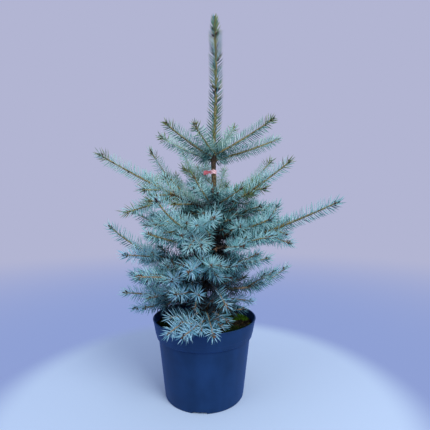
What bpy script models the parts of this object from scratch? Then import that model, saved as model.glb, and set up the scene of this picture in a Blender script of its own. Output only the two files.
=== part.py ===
"""A young blue spruce in a round nursery pot.

Metres, +Z up. The origin is on the pot's axis, on the flat underside that the
pot stands on, and -Y is the plant's front. The trunk stands on the soil and
runs up to the tip of the leader. Limbs leave it in whorls, and each limb
carries one mass of needled twigs. Azimuths are in degrees, 0 to the right and
-90 to the front.
"""

import math
import random
from collections import namedtuple

import bmesh
import bpy
from mathutils import Matrix, Quaternion, Vector, noise
from mathutils.kdtree import KDTree

GAP = 0.0003

# The pot: a tapered wall with a wider, stepped collar round its mouth.
POT_HEIGHT = 0.191
RIM_RADIUS = 0.130
COLLAR_HEIGHT = 0.043
COLLAR_FOOT_RADIUS = 0.1203
COLLAR_STEP_HEIGHT = 0.003
WALL_TOP_RADIUS = 0.1155
FOOT_RADIUS = 0.0988
HEEL_RADIUS = 0.0025
WALL_THICKNESS = 0.0018
FLOOR_THICKNESS = 0.0055
LIP_RADIUS = 0.0012
POT_STEPS = 36
NOTCH_AZIMUTH = -94.5
NOTCH_COUNT = 4
NOTCH_SIZE = (0.020, 0.034, 0.0046)
DRAIN_COUNT = 6
DRAIN_SIDES = 8
DRAIN_RADIUS = 0.006
DRAIN_CIRCLE = 0.066

# The soil that fills it, level round the trunk, falling towards the wall, and lumpy between.
SOIL_EDGE_HEIGHT = 0.171
SOIL_HEIGHT = 0.178
SOIL_FLAT_RADIUS = 0.024
SOIL_LEDGE = 0.013
SOIL_LUMP = 0.0045
SOIL_LUMPS_PER_METRE = 38
SOIL_RINGS = 6

# The trunk: height and sideways place of each bend, and its radius at some heights.
TRUNK_FOOT = SOIL_HEIGHT + GAP
TRUNK_TIP = 0.950
TRUNK_BENDS = (
    (TRUNK_FOOT, 0.000, 0.000),
    (0.250, -0.001, 0.001),
    (0.330, 0.008, 0.003),
    (0.400, 0.018, 0.003),
    (0.470, 0.0245, 0.002),
    (0.594, 0.0229, 0.000),
    (0.750, 0.0286, 0.001),
    (0.840, 0.0288, 0.001),
    (TRUNK_TIP, 0.0258, 0.000),
)
TRUNK_RADII = (
    (TRUNK_FOOT, 0.0095),
    (0.330, 0.0080),
    (0.470, 0.0066),
    (0.600, 0.0059),
    (0.650, 0.0043),
    (TRUNK_TIP, 0.0026),
)
FLARE = 0.55
FLARE_HEIGHT = 0.014
FLARE_RINGS = (0.003, 0.007, 0.013, 0.021)
FOOT_OVERHANG = 10
BUTTRESSES = 5
BUTTRESS_DEPTH = 0.3
TRUNK_SIDES = 10
TRUNK_RING_STEP = 0.036

# The tape tied round the trunk under the top whorl, its ends pinched together on the left.
TIE_HEIGHT = 0.553
TIE_WIDTH = 0.010
TIE_THICKNESS = 0.0012
TIE_TAIL = 0.019
TIE_TAIL_DROOP = 0.003
TIE_TAIL_WAVE = 0.002
TIE_PINCH = 0.3
TIE_STEPS = 20
TIE_TAIL_RINGS = 5

# Boughs and twigs. A limb's radius at the trunk grows with its reach.
BOUGH_SIDES = 6
LIMB_FOOT_RADIUS = 0.0022
LIMB_THICKENING = 0.008
TWIG_SIDES = 3
TWIG_TWIST = math.radians(47)
TIP_RADIUS = 0.0017
RING_STEP = 0.016
BUD_RADIUS = 0.0032
BUD_LENGTH = 0.009
BUD_SHOULDER = 0.35

# Each needle here stands for a spray of the real ones. Over the last part of a twig they lean
# forward round the bud and are a little shorter.
NEEDLE_LENGTH = 0.024
NEEDLE_VARY = 0.09
NEEDLE_LEAN = math.radians(58)
TIP_LEAN = math.radians(24)
TIP_SHARE = 0.8
TIP_SHORTENING = 0.2
NEEDLE_PROBES = (0.25, 0.45, 0.6, 0.75, 0.9, 1.03)

# The leader's needles stand on a thin skin round the trunk's top.
LEADER_FOOT = 0.622
LEADER_TOP = 0.954
LEADER_SKIN = 0.0013
LEADER_CAP = 0.004
LEADER_SIDES = 5
LEADER_TWIST = math.radians(30)

# A face that strays further than this from its plane is split into triangles.
FLATNESS = 1e-6

# A stem whose lean from the vertical has a smaller sine than this takes +X as its sideways direction.
UPRIGHT = 0.05

# Half the share of a limb over which its heading is taken.
HEADING_SPAN = 0.01

# How closely stems are sampled, and the room that twigs and needles leave to what isn't theirs.
SAMPLE_STEP = 0.003
TWIG_ROOM = 0.004
NEEDLE_ROOM = 0.0022
POT_ROOM = 0.0011
RIM_ROOM = 0.004

# A limb leaves the trunk at its height and reaches out at its azimuth to a tip that is rise above
# where it left; sag is how far its middle hangs under a straight line. The first part of it, bare
# metres long, is the bough. Its side twigs are as long as the share side of what is left of the
# limb past their fork, and climb by lift. Each fork says how far along the limb a pair of them
# leaves, how many degrees the pair is rolled, left side up, and how long its left and its right
# twig are beside the rest. A fifth value is the pair's own spread from the limb, in degrees.
Limb = namedtuple("Limb", "name height azimuth reach rise sag bare side lift forks")

TOP_WHORL = (
    Limb("top_left", 0.594, 203, 0.126, 0.075, 0.004, 0, 0, 0, ()),
    Limb("top_back_left", 0.588, 160, 0.156, 0.074, 0.006, 0, 0, 0, ()),
    Limb("top_front", 0.606, -116, 0.099, 0.049, 0.003, 0, 0, 0, ()),
    Limb("top_right", 0.600, -15, 0.150, 0.082, 0.004, 0, 0, 0, ()),
    Limb("top_low_right", 0.588, 12, 0.178, 0.064, 0.004, 0, 0, 0, ()),
    Limb("top_back", 0.604, 62, 0.129, 0.100, 0.006, 0, 0, 0, ()),
)
UPPER_WHORL = (
    Limb("upper_left", 0.454, 190, 0.279, 0.139, 0.006, 0.060, 0.60, -0.10,
         ((0.36, -65, 1.06, 0.5), (0.46, -25, 0.6, 0.8))),
    Limb("upper_back_left", 0.470, 152, 0.207, 0.162, 0.036, 0.060, 0.70, 0.20,
         ((0.44, 20, 0.7, 0.6), (0.58, -20, 0.5, 0.5))),
    Limb("upper_rear", 0.490, 118, 0.230, 0.171, 0.016, 0, 0.60, 0.20, ((0.50, 0, 0.5, 1),)),
    Limb("upper_back", 0.468, 80, 0.174, 0.121, 0.010, 0.045, 0.75, 0.30, ((0.45, 0, 1, 0.4),)),
    Limb("upper_back_right", 0.478, 36, 0.207, 0.130, 0.020, 0, 0.75, 0.10, ((0.45, 0, 0.35, 0.8),)),
    Limb("upper_right", 0.456, -10, 0.190, 0.124, 0.008, 0.050, 0.60, 0.00, ((0.38, 30, 0.8, 0.45),)),
    Limb("upper_front_right", 0.472, -55, 0.109, 0.037, 0.003, 0, 0, 0, ()),
    Limb("upper_front", 0.464, -118, 0.099, 0.072, 0.004, 0, 0, 0, ()),
)
SECOND_WHORL = (
    Limb("second_front", 0.432, -120, 0.220, 0.045, 0.040, 0.055, 1.00, -0.10,
         ((0.42, 15, 0.95, 0.75, 56), (0.50, -25, 0.85, 0.6, 64))),
    Limb("second_right", 0.452, 12, 0.158, 0.022, 0.010, 0, 0.75, 0.20,
         ((0.40, 0, 1, 1), (0.58, 25, 1, 1))),
    Limb("second_left", 0.420, 172, 0.212, 0.036, 0.020, 0.055, 0.60, 0.10,
         ((0.40, 0, 1, 1), (0.58, -25, 1, 1))),
)
MIDDLE_WHORL = (
    Limb("middle_right", 0.354, -22, 0.308, 0.122, 0.006, 0.060, 0.50, 0.00,
         ((0.34, 15, 1, 0.9), (0.46, 70, 0.8, 0.85))),
    Limb("middle_right_front", 0.388, -46, 0.188, 0.052, 0.004, 0, 0.75, 0.05, ((0.45, 0, 1, 1),)),
    Limb("middle_front", 0.374, -70, 0.200, 0.013, 0.006, 0.050, 0.80, 0.07, ((0.45, 8, 1.2, 0.5),)),
    Limb("middle_front_left", 0.346, -100, 0.200, -0.009, 0.004, 0, 0.80, 0.10, ((0.50, 0, 1, 0.6),)),
    Limb("middle_left_front", 0.364, -129, 0.200, 0.045, 0.004, 0.050, 0.80, 0.10, ((0.50, 0, 1, 1),)),
    Limb("middle_left", 0.352, 192, 0.243, 0.068, 0.040, 0.055, 0.60, -0.10,
         ((0.40, 15, 1.5, 1), (0.55, -10, 0.7, 0.45))),
    Limb("middle_back_left", 0.380, 140, 0.240, 0.068, 0.008, 0, 0.65, 0.15,
         ((0.40, 0, 1, 1), (0.60, 20, 1, 1))),
    Limb("middle_back", 0.352, 97, 0.235, 0.080, 0.008, 0.050, 0.75, 0.15, ((0.45, 0, 1, 1),)),
    Limb("middle_back_right", 0.378, 48, 0.240, 0.068, 0.008, 0, 0.65, 0.15,
         ((0.40, 0, 1, 1), (0.60, -20, 1, 1))),
)
LOWER_WHORL = (
    Limb("lower_right", 0.276, 14, 0.227, 0.028, 0.034, 0.060, 0.60, 0.15, ((0.50, -35, 0.8, 1.3),)),
    Limb("lower_right_front", 0.302, -48, 0.170, 0.061, 0.004, 0.045, 0.85, 0.05, ((0.50, -12, 1.15, 0.5),)),
    Limb("lower_front", 0.313, -86, 0.195, 0.037, 0.006, 0, 0.75, 0.05, ((0.50, 0, 1, 1),)),
    Limb("lower_front_left", 0.264, -110, 0.165, 0.020, 0.004, 0, 0.80, 0.05, ((0.50, 0, 1, 1),)),
    Limb("lower_left_front", 0.296, -134, 0.200, 0.022, 0.004, 0, 0.80, 0.05, ((0.50, 0, 1, 1),)),
    Limb("lower_left", 0.256, 191, 0.196, 0.002, 0.006, 0, 0.70, 0.10, ((0.40, 0, 1, 1),)),
    Limb("lower_back_left", 0.284, 163, 0.215, 0.002, 0.014, 0.080, 0.75, 0.10, ((0.55, 0, 1, 1),)),
    Limb("lower_back", 0.290, 112, 0.205, 0.026, 0.008, 0, 0.75, 0.15, ((0.45, 0, 1, 1),)),
    Limb("lower_back_right", 0.262, 62, 0.205, 0.038, 0.008, 0, 0.75, 0.15, ((0.45, 0, 1, 1),)),
)
LOWEST_WHORL = (
    Limb("lowest_right", 0.232, 34, 0.161, -0.030, -0.004, 0, 0, 0, ()),
    Limb("lowest_right_front", 0.286, -69, 0.140, -0.036, -0.006, 0, 0, 0, ()),
    Limb("lowest_front", 0.222, -81, 0.160, -0.024, 0.000, 0.022, 0.85, -0.05,
         ((0.17, -5, 0.6, 1.4), (0.50, -5, 0.6, 1.4))),
    Limb("lowest_left", 0.230, 179, 0.179, -0.022, -0.004, 0, 0.75, 0.05, ((0.55, 0, 1, 1),)),
    Limb("lowest_back", 0.232, 108, 0.165, -0.012, 0.000, 0, 0.75, 0.05, ((0.50, 0, 1, 1),)),
)
LIMBS = TOP_WHORL + UPPER_WHORL + SECOND_WHORL + MIDDLE_WHORL + LOWER_WHORL + LOWEST_WHORL

# Side twigs: how far they turn from the limb, how much they bend forward, how much each may
# vary, and how much of their foot is bare.
SIDE_SPREAD = 46
SIDE_BEND = 0.12
SIDE_VARY = 0.10
SIDE_BARE = 0.011
SIDE_THINNER = 0.85

# A twig's centre line, with the way ahead and the radius at each point, and where its needles
# begin. Its owner is the mass that it belongs to, and its number tells it from the others there.
Twig = namedtuple("Twig", "owner number points aheads radii bare_until")

# What every mass keeps clear of: the trunk and the boughs.
WOOD = "wood"


def lerp(a, b, share):
    return a + (b - a) * share


def along_table(table, at):
    """The value at a height, from rows of (height, value), straight between them."""
    for (low, first), (high, second) in zip(table, table[1:]):
        if at <= high:
            return lerp(first, second, max(0.0, (at - low) / (high - low)))
    return table[-1][1]


def trunk_point(height):
    """The trunk's centre at a height: a smooth curve through the bends."""
    rows = TRUNK_BENDS
    last = len(rows) - 2
    i = min(last, max(0, sum(row[0] <= height for row in rows) - 1))
    before, low, high, after = rows[max(0, i - 1)], rows[i], rows[i + 1], rows[min(last + 1, i + 2)]
    t = (height - low[0]) / (high[0] - low[0])
    place = []
    for k in (1, 2):
        span = high[0] - low[0]
        leave = (high[k] - before[k]) / max(span, high[0] - before[0]) * span
        arrive = (after[k] - low[k]) / max(span, after[0] - low[0]) * span
        cubic = (
            (2 * t**3 - 3 * t**2 + 1) * low[k]
            + (t**3 - 2 * t**2 + t) * leave
            + (3 * t**2 - 2 * t**3) * high[k]
            + (t**3 - t**2) * arrive
        )
        place.append(cubic)
    return Vector((place[0], place[1], height))


def trunk_radius(height):
    return along_table(TRUNK_RADII, height)


def outward(azimuth):
    turn = math.radians(azimuth)
    return Vector((math.cos(turn), math.sin(turn), 0.0))


def limb_point(limb, t):
    """A point of the limb's centre line, from the trunk's centre at 0 to the tip at 1."""
    root = trunk_point(limb.height)
    tip = root + outward(limb.azimuth) * limb.reach + Vector((0, 0, limb.rise))
    knee = (root + tip) / 2 - Vector((0, 0, 2 * limb.sag))
    return root * (1 - t) ** 2 + knee * 2 * t * (1 - t) + tip * t**2


def limb_radius(limb, t):
    return lerp(LIMB_FOOT_RADIUS + LIMB_THICKENING * limb.reach, TIP_RADIUS, t)


def limb_length(limb):
    return math.hypot(limb.reach, limb.rise)


def evenly(count, low=0.0, high=1.0):
    return [lerp(low, high, i / (count - 1)) for i in range(count)]


def limb_heading(limb, t):
    return (limb_point(limb, t + HEADING_SPAN) - limb_point(limb, t - HEADING_SPAN)).normalized()


def stretch(owner, limb, start, end):
    """The part of a limb between two shares of its length, with its rings evenly spaced."""
    count = max(3, round((end - start) * limb_length(limb) / RING_STEP) + 1)
    shares = evenly(count, start, end)
    points = [limb_point(limb, t) for t in shares]
    aheads = [limb_heading(limb, t) for t in shares]
    return Twig(owner, 0, points, aheads, [limb_radius(limb, t) for t in shares], 0.0)


def side_twig(limb, number, fork, side, chance):
    """A twig that leaves the limb at a fork to one side, and curves forward a little."""
    share, roll, left, right = fork[:4]
    spread = fork[4] if len(fork) > 4 else SIDE_SPREAD
    root = limb_point(limb, share)
    ahead = limb_heading(limb, share)
    across = Vector((0, 0, 1)).cross(ahead).normalized()
    across.rotate(Quaternion(ahead, math.radians(roll)))
    turn = math.radians(spread * (1 + chance.uniform(-SIDE_VARY, SIDE_VARY)))
    lift = limb.lift + chance.uniform(-SIDE_VARY, SIDE_VARY)
    heading = ahead * math.cos(turn) + across * side * math.sin(turn) + Vector((0, 0, lift))
    heading.normalize()
    length = limb_length(limb) * (1 - share) * limb.side * (1 + chance.uniform(-SIDE_VARY, SIDE_VARY))
    length *= left if side == 1 else right
    knee = root + heading * length / 2
    tip = root + (heading + ahead * SIDE_BEND).normalized() * length
    shares = evenly(max(3, round(length / RING_STEP) + 1))
    points = [root * (1 - t) ** 2 + knee * 2 * t * (1 - t) + tip * t**2 for t in shares]
    aheads = [((knee - root) * (1 - t) + (tip - knee) * t).normalized() for t in shares]
    foot = limb_radius(limb, share) * SIDE_THINNER
    radii = [lerp(foot, TIP_RADIUS, t) for t in shares]
    return Twig(limb.name, number, points, aheads, radii, SIDE_BARE)


class Space:
    """Where the stems run, so that each twig and needle can be kept in its own mass's space."""

    def __init__(self):
        self.samples = []
        self.tree = None

    def add(self, twig):
        ends = list(zip(twig.points, twig.radii))
        for (a, first), (b, second) in zip(ends, ends[1:]):
            count = max(2, math.ceil((b - a).length / SAMPLE_STEP))
            for share in evenly(count + 1):
                self.samples.append((a.lerp(b, share), lerp(first, second, share), twig.owner, twig.number))

    def balance(self):
        self.tree = KDTree(len(self.samples))
        for i, sample in enumerate(self.samples):
            self.tree.insert(sample[0], i)
        self.tree.balance()

    def nearest(self, point, wanted):
        """Distance to the nearest stem that wanted accepts by its owner and number, and its radius."""
        _, i, distance = self.tree.find(point, filter=lambda i: wanted(*self.samples[i][2:]))
        return (1.0, 0.0) if i is None else (distance, self.samples[i][1])

    def twig_fits(self, twig):
        """True if a twig stays clear of the pot, of the wood and of every other mass's stems."""
        for point, radius in list(zip(twig.points, twig.radii))[1:]:
            distance, other = self.nearest(point, lambda owner, number: owner != twig.owner)
            if distance < radius + other + TWIG_ROOM or not clear_of_pot(point, radius + POT_ROOM):
                return False
        return True

    def needle_fits(self, twig, roots, tip):
        """True if a needle, along its edges from each root to the tip, is nearer to its own mass's
        stems than to another's, and clear of the pot, of the wood and of its mass's other twigs."""
        for root in roots:
            for share in NEEDLE_PROBES:
                point = root.lerp(tip, share)
                if not clear_of_pot(point, POT_ROOM):
                    return False
                own, _ = self.nearest(point, lambda owner, number: owner == twig.owner)
                rival, _ = self.nearest(point, lambda owner, number: owner not in (twig.owner, WOOD))
                wood, wood_radius = self.nearest(point, lambda owner, number: owner == WOOD)
                twin, twin_radius = self.nearest(
                    point, lambda owner, number: owner == twig.owner and number != twig.number
                )
                if rival < own + NEEDLE_ROOM or wood < wood_radius + NEEDLE_ROOM:
                    return False
                if twin < twin_radius + NEEDLE_ROOM:
                    return False
        return True


def soil_top(x, y):
    """Height of the soil's surface."""
    share = (math.hypot(x, y) - SOIL_FLAT_RADIUS) / (mouth_radius() - SOIL_LEDGE - SOIL_FLAT_RADIUS)
    share = min(1.0, max(0.0, share))
    lump = (1 + noise.noise(Vector((x, y, 0.0)) * SOIL_LUMPS_PER_METRE)) * SOIL_LUMP
    return lerp(SOIL_HEIGHT, SOIL_EDGE_HEIGHT, share) + lump * math.sin(math.pi * share)


def mouth_radius():
    return RIM_RADIUS - WALL_THICKNESS


def clear_of_pot(point, margin):
    radius = math.hypot(point.x, point.y)
    if radius > RIM_RADIUS + margin:
        return point.z > margin
    if radius > mouth_radius() - RIM_ROOM - margin:
        return point.z > POT_HEIGHT + margin
    return point.z > soil_top(point.x, point.y) + margin


def collection():
    return bpy.context.scene.collection


def material(name, colour, roughness):
    made = bpy.data.materials.get(name)
    if made is None:
        made = bpy.data.materials.new(name)
        made.use_nodes = True
        shader = made.node_tree.nodes["Principled BSDF"]
        shader.inputs["Base Color"].default_value = (*colour, 1.0)
        shader.inputs["Roughness"].default_value = roughness
        shader.inputs["Metallic"].default_value = 0.0
        made.diffuse_color = (*colour, 1.0)
    return made


def pot_plastic():
    return material("pot_plastic", (0.020, 0.045, 0.130), 0.45)


def soil_and_moss():
    return material("soil_and_moss", (0.040, 0.045, 0.018), 0.95)


def bark():
    return material("bark", (0.220, 0.130, 0.055), 0.85)


def needles():
    return material("needles", (0.170, 0.360, 0.360), 0.60)


def tie_tape():
    return material("tie_tape", (0.800, 0.300, 0.330), 0.50)


def object_of(name, mesh_maker, surface):
    """A new object whose mesh is what mesh_maker leaves in a bmesh."""
    bm = bmesh.new()
    mesh_maker(bm)
    bmesh.ops.triangulate(bm, faces=[face for face in bm.faces if bent(face)])
    bmesh.ops.recalc_face_normals(bm, faces=bm.faces)
    mesh = bpy.data.meshes.new(name)
    bm.to_mesh(mesh)
    bm.free()
    mesh.materials.append(surface)
    made = bpy.data.objects.new(name, mesh)
    collection().objects.link(made)
    return made


def bent(face):
    """True if a face isn't flat, which would upset a Boolean."""
    start, normal = face.verts[0].co, face.normal
    return any(abs((vert.co - start).dot(normal)) > FLATNESS for vert in face.verts)


def remove(obj):
    mesh = obj.data
    bpy.data.objects.remove(obj)
    bpy.data.meshes.remove(mesh)


def apply_modifiers(obj):
    """Makes the evaluated mesh the object's own."""
    bpy.context.view_layer.update()
    graph = bpy.context.evaluated_depsgraph_get()
    made = bpy.data.meshes.new_from_object(obj.evaluated_get(graph))
    old = obj.data
    obj.modifiers.clear()
    obj.data = made
    bpy.data.meshes.remove(old)


def cut(obj, cutter):
    modifier = obj.modifiers.new("cut", "BOOLEAN")
    modifier.operation = "DIFFERENCE"
    modifier.object = cutter
    apply_modifiers(obj)


def join(first, others):
    """Fuses the other objects to the first with one Boolean union, and removes them."""
    if not others:
        return
    group = bpy.data.collections.new("joined")
    for other in others:
        group.objects.link(other)
    modifier = first.modifiers.new("join", "BOOLEAN")
    modifier.operation = "UNION"
    modifier.operand_type = "COLLECTION"
    modifier.collection = group
    apply_modifiers(first)
    for other in others:
        remove(other)
    bpy.data.collections.remove(group)


def shells(bm):
    """The mesh's faces, grouped by the edges that they share."""
    unseen = set(bm.faces)
    while unseen:
        start = unseen.pop()
        shell, border = {start}, [start]
        while border:
            near = {face for edge in border.pop().edges for face in edge.link_faces} & unseen
            unseen -= near
            shell |= near
            border.extend(near)
        yield shell


def keep_outer_shell(obj):
    """Fills any hollow that fusing has sealed, and drops any loose scrap."""
    bm = bmesh.new()
    bm.from_mesh(obj.data)
    inner = sorted(shells(bm), key=len)[:-1]
    if inner:
        bmesh.ops.delete(bm, geom=[face for shell in inner for face in shell], context="FACES")
        bm.to_mesh(obj.data)
    bm.free()


def smooth(obj, sharp_from=math.radians(35)):
    obj.data.shade_smooth()
    obj.data.set_sharp_from_angle(angle=sharp_from)


def turned(bm, profile, steps):
    """Spins a profile of (radius, height) points round Z into a closed body."""
    line = [bm.verts.new((radius, 0.0, height)) for radius, height in profile]
    edges = [bm.edges.new(pair) for pair in zip(line, line[1:])]
    bmesh.ops.spin(
        bm, geom=line + edges, cent=(0, 0, 0), axis=(0, 0, 1), angle=2 * math.pi, steps=steps, use_merge=True
    )
    bmesh.ops.remove_doubles(bm, verts=bm.verts, dist=1e-5)


def wall_profile(inset):
    """The pot's side from its heel to its lip, moved inwards by inset, as (radius, height)."""
    collar_foot = POT_HEIGHT - COLLAR_HEIGHT
    return [
        (FOOT_RADIUS - inset, HEEL_RADIUS),
        (WALL_TOP_RADIUS - inset, collar_foot - COLLAR_STEP_HEIGHT),
        (COLLAR_FOOT_RADIUS - inset, collar_foot),
        (RIM_RADIUS - LIP_RADIUS - inset, POT_HEIGHT - 2 * LIP_RADIUS),
    ]


def pot_profile():
    """The pot's section: under its floor, up the outside, over the lip and down the inside."""
    corner = FOOT_RADIUS - HEEL_RADIUS
    heel = []
    for turn in (math.pi / 8, math.pi / 4, 3 * math.pi / 8):
        heel.append((corner + HEEL_RADIUS * math.sin(turn), HEEL_RADIUS * (1 - math.cos(turn))))
    lip = [
        (RIM_RADIUS, POT_HEIGHT - LIP_RADIUS),
        (RIM_RADIUS - LIP_RADIUS / 2, POT_HEIGHT),
        (RIM_RADIUS - LIP_RADIUS / 2 - WALL_THICKNESS, POT_HEIGHT),
    ]
    foot, *inside = wall_profile(WALL_THICKNESS)
    down = [*reversed(inside), (foot[0], FLOOR_THICKNESS), (0.0, FLOOR_THICKNESS)]
    return [(0.0, 0.0), (corner, 0.0), *heel, *wall_profile(0.0), *lip, *down]


def make_pot():
    pot = object_of("pot", lambda bm: turned(bm, pot_profile(), POT_STEPS), pot_plastic())
    for i in range(NOTCH_COUNT):
        azimuth = NOTCH_AZIMUTH + 360 / NOTCH_COUNT * i
        notch = object_of("notch", lambda bm: notch_block(bm, azimuth), pot_plastic())
        cut(pot, notch)
        remove(notch)
    for i in range(DRAIN_COUNT):
        azimuth = NOTCH_AZIMUTH + 360 / DRAIN_COUNT * (i + 0.5)
        drain = object_of("drain", lambda bm: drain_plug(bm, azimuth), pot_plastic())
        cut(pot, drain)
        remove(drain)
    smooth(pot)


def notch_block(bm, azimuth):
    """A block at the heel, as deep and wide as a notch, that stands its height above the ground."""
    bmesh.ops.create_cube(bm, size=1.0)
    depth, width, height = NOTCH_SIZE
    bmesh.ops.scale(bm, verts=bm.verts, vec=(depth, width, 2 * height))
    bmesh.ops.translate(bm, verts=bm.verts, vec=(FOOT_RADIUS, 0, 0))
    bmesh.ops.rotate(bm, verts=bm.verts, matrix=Matrix.Rotation(math.radians(azimuth), 3, "Z"))


def drain_plug(bm, azimuth):
    depth = 4 * FLOOR_THICKNESS  # half of it below the floor
    bmesh.ops.create_cone(
        bm, cap_ends=True, segments=DRAIN_SIDES, radius1=DRAIN_RADIUS, radius2=DRAIN_RADIUS, depth=depth
    )
    bmesh.ops.translate(bm, verts=bm.verts, vec=outward(azimuth) * DRAIN_CIRCLE)


def make_soil():
    """One body from the pot's floor up: its top is a disc of rings that take the soil's height."""
    heel, neck, collar, lip = wall_profile(WALL_THICKNESS + GAP)
    flare = (lip[0] - collar[0]) / (lip[1] - collar[1])
    edge = collar[0] + flare * (SOIL_EDGE_HEIGHT - collar[1])
    floor = FLOOR_THICKNESS + GAP
    top = [(radius, SOIL_EDGE_HEIGHT) for radius in evenly(SOIL_RINGS, edge, SOIL_FLAT_RADIUS)]
    profile = [(0.0, floor), (heel[0], floor), neck, collar, *top, (0.0, SOIL_EDGE_HEIGHT)]

    def build(bm):
        turned(bm, profile, POT_STEPS)
        for vert in bm.verts:
            if vert.co.z > SOIL_EDGE_HEIGHT - GAP and math.hypot(vert.co.x, vert.co.y) < edge - GAP:
                vert.co.z = soil_top(vert.co.x, vert.co.y)

    smooth(object_of("soil", build, soil_and_moss()))


def ring_at(bm, centre, ahead, radius, sides, turn):
    """A ring of vertices round a point, square to the way ahead, its radius a function of the angle."""
    across = Vector((0, 0, 1)).cross(ahead)
    across = across.normalized() if across.length > UPRIGHT else Vector((1, 0, 0))
    up = ahead.cross(across).normalized()
    ring = []
    for k in range(sides):
        angle = turn + 2 * math.pi * k / sides
        ring.append(bm.verts.new(centre + (across * math.cos(angle) + up * math.sin(angle)) * radius(angle)))
    return ring


def loft(bm, rings):
    """Joins rings into a closed tube. Gives its side faces ring by ring, and its end."""
    sides = len(rings[0])
    bands = []
    for low, high in zip(rings, rings[1:]):
        corners = [(k, (k + 1) % sides) for k in range(sides)]
        bands.append([bm.faces.new((low[k], low[m], high[m], high[k])) for k, m in corners])
    bm.faces.new(list(reversed(rings[0])))
    return bands, bm.faces.new(rings[-1])


def make_point(bm, face, tip):
    """Draws a face out to a point."""
    bmesh.ops.poke(bm, faces=[face])["verts"][0].co = tip


def trunk_shape(bm, fatter=0.0):
    """The trunk from its flat foot to its tip. The fatter shape starts lower and ends higher."""
    low = TRUNK_FOOT - FOOT_OVERHANG * fatter
    straight = evenly(round((TRUNK_TIP - TRUNK_FOOT) / TRUNK_RING_STEP), TRUNK_FOOT, TRUNK_TIP)[1:]
    rings = []
    for height in (low, *(TRUNK_FOOT + rise for rise in FLARE_RINGS), *straight):
        swell = FLARE * math.exp(-(height - TRUNK_FOOT) / FLARE_HEIGHT)

        def radius(angle, height=height, swell=swell):
            ribs = 1 + BUTTRESS_DEPTH * math.cos(BUTTRESSES * angle)
            return trunk_radius(height) * (1 + swell * ribs) + fatter

        centre = trunk_point(height)
        if height == TRUNK_TIP:
            centre.z += fatter
        rings.append(ring_at(bm, centre, Vector((0, 0, 1)), radius, TRUNK_SIDES, 0.0))
    loft(bm, rings)


def make_trunk():
    trunk = object_of("trunk", trunk_shape, bark())
    smooth(trunk)


def make_tie():
    """A loop of tape round the trunk, with its two ends pinched together and standing off it."""
    inner = trunk_radius(TIE_HEIGHT) + 2 * GAP
    outer = inner + TIE_THICKNESS
    centre = trunk_point(TIE_HEIGHT)
    profile = [(inner, 0.0), (outer, 0.0), (outer, TIE_WIDTH), (inner, TIE_WIDTH), (inner, 0.0)]

    def loop(bm):
        turned(bm, profile, TIE_STEPS)
        bmesh.ops.translate(bm, verts=bm.verts, vec=centre)

    def tail(bm):
        rings = []
        for out in evenly(TIE_TAIL_RINGS):
            half = TIE_WIDTH / 2 * (1 - TIE_PINCH * math.sin(math.pi * out)) - GAP
            wave = TIE_TAIL_WAVE * math.sin(math.tau * out)
            droop = TIE_TAIL_DROOP * out**2
            middle = centre + Vector((-outer + GAP - TIE_TAIL * out, wave, TIE_WIDTH / 2 - droop))
            corners = ((-1, -half), (1, -half), (1, half), (-1, half))
            rings.append([bm.verts.new(middle + Vector((0, y * TIE_THICKNESS / 2, z))) for y, z in corners])
        loft(bm, rings)

    tie = object_of("tie", loop, tie_tape())
    join(tie, [object_of("tie_tail", tail, tie_tape())])


def raise_needles(bm, twig, bands, space, chance):
    """Draws each side face of a twig out into a needle, where there is room for one."""
    for i, band in enumerate(bands):
        share = (i + 0.5) / len(bands)
        if (twig.points[i] - twig.points[0]).length < twig.bare_until:
            continue
        ahead = twig.aheads[i]
        middle = twig.points[i].lerp(twig.points[i + 1], 0.5)
        lean = lerp(NEEDLE_LEAN, TIP_LEAN, max(0.0, (share - TIP_SHARE) / (1 - TIP_SHARE)))
        for face in band:
            base = face.calc_center_median()
            off = base - middle
            off = (off - ahead * off.dot(ahead)).normalized()
            reach = NEEDLE_LENGTH * (1 - TIP_SHORTENING * share**3)
            reach *= chance.uniform(1 - NEEDLE_VARY, 1 + NEEDLE_VARY)
            tip = base + (off * math.sin(lean) + ahead * math.cos(lean)) * reach
            corners = [vert.co for vert in face.verts]
            roots = [(corners[0] + corners[1]) / 2, (corners[2] + corners[3]) / 2]
            if space.needle_fits(twig, roots, tip):
                make_point(bm, face, tip)


def make_twig(name, twig, space, chance):
    """A twig with its needles, and a bud on its end."""

    def build(bm):
        rings = []
        for i, (point, ahead, radius) in enumerate(zip(twig.points, twig.aheads, twig.radii)):
            rings.append(ring_at(bm, point, ahead, lambda _: radius, TWIG_SIDES, i * TWIG_TWIST))
        end, ahead = twig.points[-1], twig.aheads[-1]
        shoulder = end + ahead * BUD_LENGTH * BUD_SHOULDER
        rings.append(ring_at(bm, shoulder, ahead, lambda _: BUD_RADIUS, TWIG_SIDES, len(rings) * TWIG_TWIST))
        bands, cap = loft(bm, rings)
        make_point(bm, cap, end + ahead * BUD_LENGTH)
        raise_needles(bm, twig, bands[:-1], space, chance)

    return object_of(name, build, needles())


def make_mass(name, twigs, space, cutter):
    """A limb's needled twigs, fused to one body. Without a cutter they end clear of the trunk already."""
    chance = random.Random(name + " needles")
    first, *others = [make_twig(f"needles_{name}_{twig.number}", twig, space, chance) for twig in twigs]
    join(first, others)
    if cutter:
        cut(first, cutter)
    keep_outer_shell(first)
    first.name = f"needles_{name}"


def leader_twig():
    heights = evenly(round((LEADER_TOP - LEADER_FOOT) / RING_STEP), LEADER_FOOT, LEADER_TOP)
    points = [trunk_point(height) for height in heights]
    aheads = [Vector((0, 0, 1))] * len(points)
    return Twig("leader", 0, points, aheads, [trunk_radius(height) + LEADER_SKIN for height in heights], 0.0)


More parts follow.
